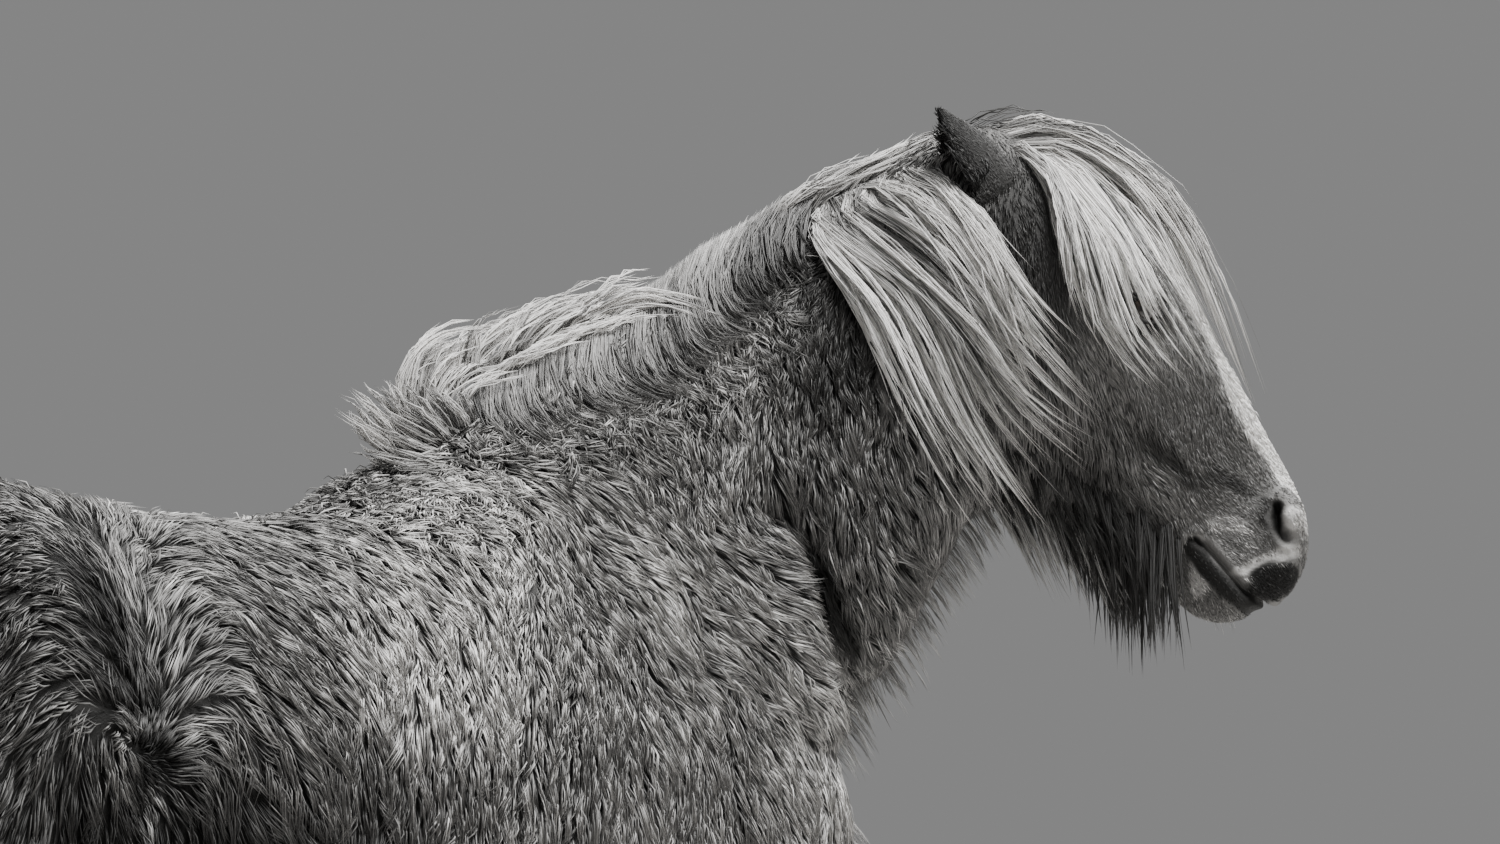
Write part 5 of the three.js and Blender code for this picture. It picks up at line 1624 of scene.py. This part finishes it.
def coiffure(strokes, count, seed, points, near, tiers, spread_by, reach, overhang):
    """Paths of locks between neighbouring strokes, from the middle plane out to their side's surface."""
    draw = np.random.default_rng(seed)
    places = np.clip((np.arange(count) + draw.uniform(-0.5, 0.5, count)) / (count - 1), 0, 0.999)
    steps = np.linspace(0, 1, points)
    lengths = reach * draw.uniform(0.78, 1.04, count)
    flat = np.empty((count, points, 2))
    for index, place in enumerate(places * (len(strokes) - 1)):
        first = int(place)
        at = np.minimum(steps * lengths[index], 1.0)
        flat[index] = towards(spline(strokes[first], at), spline(strokes[first + 1], at), place - first)
    shift = draw.uniform(-spread_by, spread_by, (count, 2))
    flat += shift[:, None] * np.minimum(1, steps * 2)[None, :, None]
    bends = np.sin(steps * draw.uniform(5, 13, (count, 1)) + draw.uniform(0, 6, (count, 1)))
    flat[..., 0] += draw.normal(0, 4.2, (count, 1)) * bends * steps
    paths = laid(flat, near, draw.uniform(tiers[0], tiers[1], count), overhang)
    # Near their roots the locks face up, so that they lie flat over the crest.
    facing = unit(0.9 * UPWARD * np.maximum(0, 1 - 2.5 * steps)[:, None] - VIEW_IN * near)
    return paths, np.broadcast_to(facing[None], paths.shape)


CLUMP_TIP = 0.12  # share of a clump's width that its tip has
STRAY_SHARE = 0.07  # share of the strands that leave their clump
STRAND_TAPER = ((0, 0.08, 0.5, 0.85, 1), (0.6, 0.9, 1.0, 0.65, 0.0))
STRAND_TONES = (0.35, 1.16)  # how dark and how pale a strand may be against its clump's tone


def strands(paths, facing, per, radius, width, tone, seed, fade, crimp=0.0):
    """Strands in clumps round the paths, which come together at the clumps' tips."""
    draw = np.random.default_rng(seed)
    clumps, length = paths.shape[:2]
    owner = np.repeat(np.arange(clumps), per)
    count = len(owner)
    steps = np.linspace(0, 1, length)
    reach = draw.uniform(0.72, 1.03, count)
    spots = np.clip(steps[None] * reach[:, None], 0, 1.03) * (length - 1)
    low = np.clip(spots.astype(int), 0, length - 2)
    part = (spots - low)[..., None]
    rows = np.arange(count)[:, None]
    own = paths[owner]
    centre = own[rows, low] * (1 - part) + own[rows, low + 1] * part
    face = facing[owner]
    tangent = unit(np.gradient(centre, axis=1))
    face = unit(face - np.sum(face * tangent, -1, keepdims=True) * tangent)
    across = np.cross(tangent, face)
    size = radius * draw.uniform(0.7, 1.3, clumps)[owner][:, None]
    body = (0.8 + 0.35 * np.sin(steps * math.pi)) * (1 - steps) ** 0.75 * (1 - CLUMP_TIP) + CLUMP_TIP
    aside, aloft = draw.normal(0, 0.5, (count, 1)), draw.uniform(-0.5, 0.5, (count, 1))
    curl = draw.normal(0, 0.55, (count, 1)) * np.sin(
        steps * draw.uniform(5, 12, (count, 1)) + draw.uniform(0, 6.3, (count, 1)))
    stray = (draw.uniform(0, 1, (count, 1)) < STRAY_SHARE) * draw.normal(0, 1.6, (count, 1)) * steps ** 2
    offset = across * ((aside * body + 0.16 * curl * steps + stray) * size)[..., None]
    offset += face * ((aloft * body * 0.8 + 0.1 * curl) * size)[..., None]
    kinks = 0.85 * draw.normal(0, 1, (clumps, length))[owner] + 0.45 * draw.normal(0, 1, (count, length))
    offset += across * (crimp * kinks * np.minimum(1, steps * 3))[..., None]
    widths = width * draw.uniform(0.65, 1.3, (count, 1)) * np.interp(steps, *STRAND_TAPER)
    shades = draw.normal(1, 0.19, clumps)[owner][:, None] * draw.normal(1, 0.2, (count, 1))
    root_tone, tip_tone = fade
    light = np.interp(steps, [0, 0.2, 1], [root_tone, (root_tone + 2) / 3 + 0.08, tip_tone])
    tones = tone * np.clip(shades, *STRAND_TONES) * light
    result = centre + offset
    return spindles(result, face, widths, widths * 0.6, tones, bake_spot(result[:, 0]))


MANE = (
    # Strokes, clumps, strands in each, points, near side, tiers, spread, reach, overhang, radius, tone, fade.
    (MANE_STROKES, 114, 16, 9, 1, (8, 32), 7, 1.0, True, 5.0, 0.84, (0.58, 1.05)),
    (MANE_TOP_STROKES, 46, 14, 9, 1, (14, 34), 6, 1.0, True, 5.2, 0.88, (0.62, 1.05)),
    (MANE_STROKES, 34, 11, 8, -1, (2, 22), 8, 0.7, True, 8.0, 0.80, (0.62, 1.05)),
)
CREST = (
    (CREST_STROKES[:7], 210, 9, 6, 1, (9, 22), 8, 1.04, False, 4.2, 0.55, (1.28, 0.70)),
    # This row's darker tone is painted shade in the hollow where the mane parts from the crest.
    (CREST_STROKES[6:], 70, 9, 6, 1, (9, 22), 8, 1.0, False, 4.2, 0.40, (1.3, 0.70)),
    (CREST_STROKES, 40, 9, 6, -1, (10, 22), 9, 1.0, False, 7.0, 0.54, (1.1, 0.8)),
)
WIND = (
    (WIND_STROKES, 62, 5, 8, 1, (-8, 12), 17, 0.9, False, 2.4, 1.0, (0.6, 1.1)),
    (WIND_LOW_STROKES, 34, 4, 7, 1, (14, 26), 10, 0.9, False, 2.2, 1.0, (0.6, 1.1)),
    (POLL_STROKES, 46, 9, 7, 1, (-8, 16), 8, 1.0, False, 4.4, 0.80, (0.7, 1.05)),
    (WISP_STROKES, 9, 6, 8, 1, (16, 26), 5, 0.98, False, 2.4, 1.0, (0.85, 1.1)),
    (WIND_STROKES, 24, 10, 7, -1, (-12, 12), 8, 0.8, False, 5.5, 0.78, (0.6, 1.05)),
    (POLL_STROKES, 20, 10, 7, -1, (-8, 12), 8, 0.9, False, 6.0, 0.78, (0.7, 1.05)),
)
WITHER_TUFT = (
    (TUFT_STROKES, 54, 12, 8, 1, (-16, 16), 7, 1.0, False, 4.4, 0.88, (0.5, 1.1)),
    (BUSH_STROKES, 60, 10, 6, 1, (8, 40), 8, 1.0, False, 6.5, 0.66, (0.35, 1.15)),
)
FORELOCK = (
    (FORELOCK_STROKES, 92, 16, 9, 1, (5, 30), 8, 1.0, False, 5.0, 0.86, (0.72, 1.05)),
    (LOOSE_STROKES, 8, 2, 9, 1, (-10, 10), 8, 1.0, False, 7.0, 0.34, (1.0, 1.0)),
    (FORELOCK_STROKES[2:], 32, 11, 9, -1, (3, 22), 8, 0.8, False, 8.0, 0.84, (0.62, 1.05)),
)
MANE_CRIMP, TAIL_CRIMP = 1.5, 2.0  # millimetres that kinks move a strand aside


def build_styled(name, style, seed):
    """Builds one piece of long hair from its rows of locks."""
    parts = []
    for index, row in enumerate(style):
        strokes, clumps, per, points, near, tiers, spread_by, reach, overhang, radius, tone, fade = row
        paths, facing = coiffure(
            strokes, fewer(clumps), seed + index, points, near, tiers, spread_by, reach, overhang)
        parts.append(strands(
            paths, facing, per, radius, chosen().strand_width, tone, seed + 20 + index, fade, MANE_CRIMP))
    build_hair(name, parts, material_of("long", long_hair_material), "long_hair")


# Fringes. Where they grow, how long they are and how they hang are functions of the place.
def always(*value):
    """A length or a way to hang that is the same at every root."""
    return lambda roots: np.array(value, float)


def skin_weight(place):
    """Weights of the skin's triangles for scatter, by a test of their middles and outward directions."""
    middle, outward, area, ear = triangle_facts()
    return area * place(middle, outward) * (ear == 0)


def hanging(place, count, per, length, lean, radius, width, tone, seed, points=6, stand=0.35, root_tone=0.6):
    """Clumps that leave the skin outwards and then hang."""
    roots, normals, _ = scatter(fewer(count), skin_weight(place), seed)
    draw = np.random.default_rng(seed + 1)
    sizes = length(roots) * draw.uniform(0.7, 1.2, len(roots))
    steps = np.linspace(0, 1, points)
    hang = unit(lean(roots) + draw.normal(0, 0.1, (len(roots), 3)))
    out = unit(normals + hang * 0.6)
    go = steps - stand * steps ** 2
    drop = (1 - stand) * steps ** 1.6
    paths = (roots - normals * 4)[:, None] + sizes[:, None, None] * (
        out[:, None] * (go * stand)[None, :, None] + hang[:, None] * drop[None, :, None])
    facing = np.broadcast_to(unit(np.cross(hang, np.cross(normals, hang)))[:, None], paths.shape)
    return strands(paths, facing, per, radius, width, tone, seed + 2, (root_tone, 1.05))


def jaw_side(middle, _):
    along, _, up = in_head(middle).T
    place = (up < -95 + (along - 250) * 0.45) & (along > 60) & (along < 397)
    return place * (headness(middle) > 0.5) * (0.55 + spread(250, 340, along))


def jaw_side_length(roots):
    along, _, up = in_head(roots).T
    return 62 + (64 + 0.5 * np.maximum(0, up + 95)) * soft(along - 392, 78)


def jaw_side_lean(roots):
    # Towards the throat the hair is swept forwards.
    swept = 1 - spread(290, 380, in_head(roots)[:, 0])[:, None]
    return towards(np.array([0.05, -0.04, -1]), [0.36, -0.28, -1], swept)


def under_jaw(middle, _):
    along, out, up = in_head(middle).T
    return (np.abs(out) < 40) & (up < -60) & (along > 220) & (along < 350) & (headness(middle) > 0.5)


def under_jaw_length(roots):
    return 88 + 36 * soft(in_head(roots)[:, 0] - 280, 80)


def chin(middle, _):
    along, _, up = in_head(middle).T
    return (up < -45) & (along > 415) & (headness(middle) > 0.5)


def throat_front(middle, outward):
    along, out, up = unbend(middle)[0].T
    place = (outward[:, 2] < 0.1) & (np.abs(out) < 45) & (up > 960) & (along > 400)
    return place * (headness(middle) < 0.6)


def belly_line(middle, outward):
    _, out, up = unbend(middle)[0].T
    return (outward[:, 2] < -0.5) & (up < 800) & (up > 650) & (np.abs(out) < 150)


FETLOCK = (130, 215)  # lowest and highest root of the feathers


def fetlock_back(middle, outward):
    up = middle[:, 2]
    return (up > FETLOCK[0]) & (up < FETLOCK[1]) & (outward[:, 0] < 0.1)


def feather_length(roots):
    return 30 + 34 * spread(150, 200, roots[:, 2])


def build_fringe(name, *parts):
    build_hair(name, parts, material_of("coat", coat_material), "winter_coat")


def build_tail():
    """Locks down the dock that fall from it, each at its own depth under the tail's surface."""
    draw = np.random.default_rng(341)
    count, points = fewer(105), 11
    turns = 2 * math.pi * (np.arange(count) + draw.uniform(-0.5, 0.5, count)) / count
    start, end = draw.uniform(0.16, 0.42, count), draw.uniform(0.84, 1.0, count)
    steps = np.linspace(0, 1, points)
    along = start[:, None] + (end - start)[:, None] * steps
    around = turns[:, None] + 0.12 * np.sin(steps * 6 + turns[:, None] * 5)
    sink = draw.uniform(2, 34, count)[:, None] * np.minimum(1, steps * 2.5)
    paths = TAIL_FORM.skin(around, along, -sink)
    root = DOCK_FORM.skin(turns, np.minimum(0.75, start * 1.5), np.full(count, -10.0))
    paths[:, 0] = root
    paths[:, 1] = (paths[:, 1] + root) / 2
    facing = unit(np.stack([-np.cos(turns), -np.sin(turns), np.full(count, 0.1)], -1))
    facing = np.broadcast_to(facing[:, None], paths.shape)
    part = strands(paths, facing, 10, 9.0, 2.3, 0.74, 342, (0.7, 1.05), TAIL_CRIMP)
    build_hair("tail_hair", [part], material_of("long", long_hair_material), "long_hair", "tail")


# Eyes and hooves.
PUPIL_HALF_WIDTH, PUPIL_HALF_HEIGHT, IRIS_RADIUS = 0.40, 0.19, math.sqrt(0.72)  # shares of the eye's radius
PUPIL_COLOUR, IRIS_DARK, IRIS_PALE, WHITE_COLOUR = "#050404", "#1a130e", "#35281f", "#6d6259"


def eye_material():
    # A wet, dark brown eye: iris with fine spokes, a level oval pupil and a clear, glossy cornea over both.
    material, tree = new_material("wet_dark_eye")
    gaze = add_node(tree, "ShaderNodeAttribute", {"attribute_name": "gaze"}, place=(-1200, 0))
    spokes = add_node(
        tree, "ShaderNodeTexNoise", {"Scale": 14.0, "Detail": 4.0}, {"Vector": gaze.outputs["Vector"]},
        (-800, 300))
    surface = add_node(
        tree, "ShaderNodeMix", {"data_type": "RGBA", 6: colour(IRIS_DARK), 7: colour(IRIS_PALE)},
        {0: spokes.outputs["Fac"]}, (-400, 300))
    # Inside the pupil's oval and outside the iris's round edge another colour is laid over the iris.
    pupil = ((1 / PUPIL_HALF_WIDTH, 1 / PUPIL_HALF_HEIGHT, 0), "LESS_THAN", 1.0, PUPIL_COLOUR)
    white = ((1, 1, 0), "GREATER_THAN", IRIS_RADIUS, WHITE_COLOUR)
    for row, (scale, test, limit, paint) in enumerate((pupil, white)):
        flat = add_node(
            tree, "ShaderNodeVectorMath", {"operation": "MULTIPLY", 1: scale},
            {0: gaze.outputs["Vector"]}, (-1000, -200 * row))
        distance = add_node(
            tree, "ShaderNodeVectorMath", {"operation": "LENGTH"}, {0: flat.outputs["Vector"]},
            (-800, -200 * row))
        mask = add_node(
            tree, "ShaderNodeMath", {"operation": test, 1: limit}, {0: distance.outputs["Value"]},
            (-600, -200 * row))
        surface = add_node(
            tree, "ShaderNodeMix", {"data_type": "RGBA", 7: colour(paint)},
            {0: mask.outputs["Value"], 6: surface.outputs[2]}, (-200 + 200 * row, 100))
    end_material(
        tree, {"Roughness": 0.12, "Coat Weight": 1.0, "Coat Roughness": 0.03},
        {"Base Color": surface.outputs[2]})
    return material


GAZE = (0.25, 1, 0.12)  # where the left eye looks, in the head's frame
CORNEA_RISE, CORNEA_EDGE = 0.045, 0.75  # shares of the eye's radius
BACK_SPREAD = 9  # sends the eye's back far out of the iris, so that it is all white


def build_eye(name, side):
    outward = unit(mirrored(GAZE, side))
    level = unit(np.cross(UPWARD, outward))
    high = np.cross(outward, level)

    def place(spots):
        cornea = 1 + CORNEA_RISE * np.clip((spots[:, 2:] - CORNEA_EDGE) / (1 - CORNEA_EDGE), 0, 1)
        local = (spots[:, :1] * level + spots[:, 1:2] * high + spots[:, 2:] * outward) * cornea
        return ahead(local * EYE_RADIUS + mirrored(EYE, side))

    mesh, spots = sphere_mesh(name, 48, 32, place)
    gaze = mesh.attributes.new("gaze", "FLOAT_VECTOR", "POINT")
    seen = np.where(spots[:, 2:] > 0, spots, spots * [BACK_SPREAD, BACK_SPREAD, 1])
    gaze.data.foreach_set("vector", seen.astype(np.float32).ravel())
    finished(name, mesh, material_of("eye", eye_material), "eye", name)


# A hoof's stations, as a leg's but measured ahead of the heel, and where the heels and the feet stand.
HOOF = (
    ((62, 96), (20, 84), 10, 1, 0),
    ((78, 90), (0, 70), 48, 0.95, 0),
    ((95, 50), (1, 38), 54, 0.95, 0),
    ((116, 0), (6, 0), 61, 0.95, 0),
    ((122, -12), (8, -12), 62, 0.95, 0),
)
FOOT_OUT, HEELS = 130.0, {"front": 207.0, "hind": -774.0}
RING_HEIGHT, RING_RATE, HORN_DEPTH = 0.25, 120, 0.6  # the growth rings, and how far the horn lies inside
HORN_CLOUDS, HORN_LINES = 12.0, 1.5  # millimetres


def hoof_material():
    # Dull, dark horn with growth rings round it and a fine grain.
    material, tree = new_material("ringed_horn")
    spot = add_node(tree, "ShaderNodeTexCoord", place=(-1200, 0))
    cloud, grain = (
        add_node(tree, "ShaderNodeTexNoise", {"Scale": PER_METRE / size, "Detail": detail},
                 {"Vector": spot.outputs["Object"]}, (-900, height))
        for size, detail, height in ((HORN_CLOUDS, 5.0, 200), (HORN_LINES, 4.0, -300)))
    base = add_node(
        tree, "ShaderNodeMix", {"data_type": "RGBA", 6: chosen().dark_horn, 7: chosen().pale_horn},
        {0: cloud.outputs["Fac"]}, (-300, 0))
    bump = add_node(
        tree, "ShaderNodeBump", {"Strength": 0.35, "Distance": 0.0006}, {"Height": grain.outputs["Fac"]})
    end_material(
        tree, {"Roughness": 0.62, "Specular IOR Level": 0.3},
        {"Base Color": base.outputs[2], "Normal": bump.outputs["Normal"]})
    return material


def build_hoof(name, leg):
    end, side = leg.split("_")
    out = FOOT_OUT if side == "left" else -FOOT_OUT
    start = HEELS[end] + LEGS[leg][2]
    tops = [(x + start, out, z) for (x, z), *_ in HOOF]
    bottoms = [(x + start, out, z) for _, (x, z), *_ in HOOF]
    form = Form(tops, bottoms, [(0, 1, 0)] * len(HOOF), [row[2:5] for row in HOOF])

    def place(spots):
        around, along = turns_of(spots)
        rings = RING_HEIGHT * np.sin(along * RING_RATE) * spread(0.25, 0.35, along)
        points = form.skin(around, along, rings - HORN_DEPTH)
        # The sole is cut flat at the floor.
        points[:, 2] = np.maximum(points[:, 2], 0.0)
        return points

    mesh, _ = sphere_mesh(name, 48, 64, place)
    finished(name, mesh, material_of("horn", hoof_material), "hoof_horn", name)


# Stage.
FLOOR_RADIUS, FLOOR_ROUGHNESS, SENSOR_WIDTH = 5.0, 0.9, 36.0
LIGHT_DISTANCE, KEY_SIZE, RIM_SIZE = 6.0, 2.6, 2.0
LIGHT_AIM = (100.0, -50.0, 1200.0)  # the place on the horse that the lights face


def build_stage():
    settings = chosen()
    mesh = bmesh.new()
    bmesh.ops.create_circle(mesh, cap_ends=True, segments=96, radius=FLOOR_RADIUS)
    data = bpy.data.meshes.new("floor")
    mesh.to_mesh(data)
    mesh.free()
    floor = new_object("floor", data)
    material, tree = new_material("pale_studio_floor")
    end_material(tree, {"Base Color": settings.floor_colour, "Roughness": FLOOR_ROUGHNESS})
    data.materials.append(material)
    world = bpy.data.worlds.new("studio")
    bpy.context.scene.world = world
    world.use_nodes = True
    backdrop = world.node_tree.nodes["Background"].inputs
    backdrop["Color"].default_value = settings.backdrop_colour
    backdrop["Strength"].default_value = 1.0
    aim = Vector(to_frame(LIGHT_AIM))
    for name, direction, size, power in (
            ("key_light", settings.key_direction, KEY_SIZE, settings.key_power),
            ("rim_light", settings.rim_direction, RIM_SIZE, settings.rim_power),
    ):
        light = bpy.data.lights.new(name, "AREA")
        light.shape = "DISK"
        light.size = size
        light.energy = power
        lamp = new_object(name, light)
        lamp.location = aim + Vector(direction).normalized() * LIGHT_DISTANCE
        lamp.rotation_euler = (aim - lamp.location).to_track_quat("-Z", "Y").to_euler()
    camera = bpy.data.cameras.new("camera")
    camera.sensor_width = SENSOR_WIDTH
    camera.lens = FOCAL_PIXELS / PHOTO_SIZE[0] * SENSOR_WIDTH
    camera.clip_start, camera.clip_end = 0.1, 100.0
    eye = new_object("camera", camera)
    eye.location = to_frame(VIEW_FROM)
    eye.rotation_euler = Vector(VIEW_IN).to_track_quat("-Z", "Y").to_euler()
    bpy.context.scene.camera = eye


# Add-on.
def colour_choice(name, description, text):
    """A colour that a user can change, with its default as sRGB hex."""
    return bpy.props.FloatVectorProperty(
        name=name, description=description, default=colour(text), size=4, min=0.0, max=1.0, subtype="COLOR")


class HorseSettings(bpy.types.PropertyGroup):
    """Sizes, colours and lights that can be changed before the pieces are made."""

    coat_length: bpy.props.FloatProperty(
        name="Coat length", description="Length of the coat's tufts, as a share of the winter coat's",
        default=1.0, min=0.2, max=2.0, subtype="FACTOR")
    strand_width: bpy.props.FloatProperty(
        name="Strand width", description="Width of a strand of mane and forelock, in millimetres",
        default=1.25, min=0.2, max=5.0)
    dark_hair: colour_choice("Dark hair", "Hair and skin at their darkest", "#0d0d0c")
    pale_hair: colour_choice("Pale hair", "Hair and skin at their palest", "#f7f5f2")
    dark_horn: colour_choice("Dark horn", "The hooves' dark clouds", "#1b1a18")
    pale_horn: colour_choice("Pale horn", "The hooves' pale clouds", "#3d3a36")
    floor_colour: colour_choice("Floor", "The studio's floor", "#b9b7b4")
    backdrop_colour: colour_choice("Backdrop", "The light and the backdrop all round", "#868686")
    key_power: bpy.props.FloatProperty(
        name="Key light", description="Power of the large lamp overhead", default=850.0, min=0.0,
        unit="POWER")
    rim_power: bpy.props.FloatProperty(
        name="Rim light", description="Power of the lamp ahead of the head and above it", default=420.0,
        min=0.0, unit="POWER")
    key_direction: bpy.props.FloatVectorProperty(
        name="Key direction", description="Where the key light stands, seen from the horse",
        default=(0.15, -0.5, 1.0), subtype="DIRECTION")
    rim_direction: bpy.props.FloatVectorProperty(
        name="Rim direction", description="Where the rim light stands, seen from the horse",
        default=(0.86, 0.0, 0.8), subtype="DIRECTION")


class HORSE_OT_skin(bpy.types.Operator):
    """Make the horse's skin, with ears, eyelids, nostrils and lips"""

    bl_idname = "horse.skin"
    bl_label = "Skin"

    def execute(self, context):
        build_skin()
        read_lie()
        return {"FINISHED"}


class HORSE_OT_coat(bpy.types.Operator):
    """Grow the winter coat's tufts over the skin"""

    bl_idname = "horse.coat"
    bl_label = "Coat"

    def execute(self, context):
        for name in COAT_PIECES:
            build_coat(name)
        return {"FINISHED"}


class HORSE_OT_mane(bpy.types.Operator):
    """Hang the mane, with the short hair of the crest and the wind-blown hair over it"""

    bl_idname = "horse.mane"
    bl_label = "Mane"

    def execute(self, context):
        build_styled("mane_fall", MANE, 201)
        build_styled("crest_hair", CREST, 211)
        build_styled("wind_blown_mane", WIND, 221)
        build_styled("wither_tuft", WITHER_TUFT, 231)
        return {"FINISHED"}


class HORSE_OT_forelock(bpy.types.Operator):
    """Hang the forelock over the brow"""

    bl_idname = "horse.forelock"
    bl_label = "Forelock"

    def execute(self, context):
        build_styled("forelock", FORELOCK, 241)
        return {"FINISHED"}


class HORSE_OT_beard(bpy.types.Operator):
    """Hang the beard from jaw and chin"""

    bl_idname = "horse.beard"
    bl_label = "Beard"

    def execute(self, context):
        build_fringe(
            "beard",
            hanging(jaw_side, 400, 9, jaw_side_length, jaw_side_lean, 4.4, 0.95, 0.22, 301),
            hanging(under_jaw, 110, 5, under_jaw_length, always(0.42, -0.33, -1), 5.5, 0.9, 0.62, 305),
            hanging(chin, 90, 1, always(19.0), always(0.25, -0.2, -1), 0.5, 0.5, 0.72, 309, 5, root_tone=0.9))
        return {"FINISHED"}


class HORSE_OT_fringes(bpy.types.Operator):
    """Hang the fringes of throat and belly and the feathers of the fetlocks"""

    bl_idname = "horse.fringes"
    bl_label = "Fringes and feathers"

    def execute(self, context):
        build_fringe("throat_fringe", hanging(
            throat_front, 210, 5, always(76.0), always(0.38, -0.3, -1), 7.0, 0.75, 0.60, 311, stand=0.5))
        build_fringe("belly_fringe", hanging(
            belly_line, 120, 5, always(66.0), always(-0.3, 0, -1), 6.5, 2.0, 0.46, 321))
        build_fringe("feathers", hanging(
            fetlock_back, 150, 6, feather_length, always(-0.18, 0, -1), 5.0, 1.5, 0.30, 331, stand=0.3))
        return {"FINISHED"}


class HORSE_OT_tail(bpy.types.Operator):
    """Hang the tail's hair from its dock"""

    bl_idname = "horse.tail"
    bl_label = "Tail"

    def execute(self, context):
        build_tail()
        return {"FINISHED"}


class HORSE_OT_eyes(bpy.types.Operator):
    """Set both eyes in their sockets"""

    bl_idname = "horse.eyes"
    bl_label = "Eyes"

    def execute(self, context):
        build_eye("eye_left", 1)
        build_eye("eye_right", -1)
        return {"FINISHED"}


class HORSE_OT_hooves(bpy.types.Operator):
    """Make the four ringed hooves"""

    bl_idname = "horse.hooves"
    bl_label = "Hooves"

    def execute(self, context):
        for leg in LEGS:
            build_hoof(f"hoof_{leg}", leg)
        return {"FINISHED"}


class HORSE_OT_stage(bpy.types.Operator):
    """Make the floor, the backdrop, the lights and the camera"""

    bl_idname = "horse.stage"
    bl_label = "Stage"

    def execute(self, context):
        build_stage()
        return {"FINISHED"}


OPERATORS = (
    HORSE_OT_skin, HORSE_OT_coat, HORSE_OT_mane, HORSE_OT_forelock, HORSE_OT_beard, HORSE_OT_fringes,
    HORSE_OT_tail, HORSE_OT_eyes, HORSE_OT_hooves, HORSE_OT_stage,
)


class HORSE_PT_panel(bpy.types.Panel):
    """Lists what makes the horse, in order"""

    bl_label = "Icelandic horse"
    bl_idname = "HORSE_PT_panel"
    bl_space_type = "VIEW_3D"
    bl_region_type = "UI"
    bl_category = "Horse"

    def draw(self, context):
        settings = context.scene.horse_settings
        for name in HorseSettings.__annotations__:
            self.layout.prop(settings, name)
        for operator in OPERATORS:
            self.layout.operator(operator.bl_idname)


CLASSES = (HorseSettings, *OPERATORS, HORSE_PT_panel)


def register():
    for kind in CLASSES:
        bpy.utils.register_class(kind)
    bpy.types.Scene.horse_settings = bpy.props.PointerProperty(type=HorseSettings)


def unregister():
    del bpy.types.Scene.horse_settings
    for kind in reversed(CLASSES):
        bpy.utils.unregister_class(kind)


def main():
    register()
    bpy.ops.horse.skin()
    bpy.ops.horse.coat()
    bpy.ops.horse.mane()
    bpy.ops.horse.forelock()
    bpy.ops.horse.beard()
    bpy.ops.horse.fringes()
    bpy.ops.horse.tail()
    bpy.ops.horse.eyes()
    bpy.ops.horse.hooves()
    bpy.ops.horse.stage()


if __name__ == "__main__":
    main()
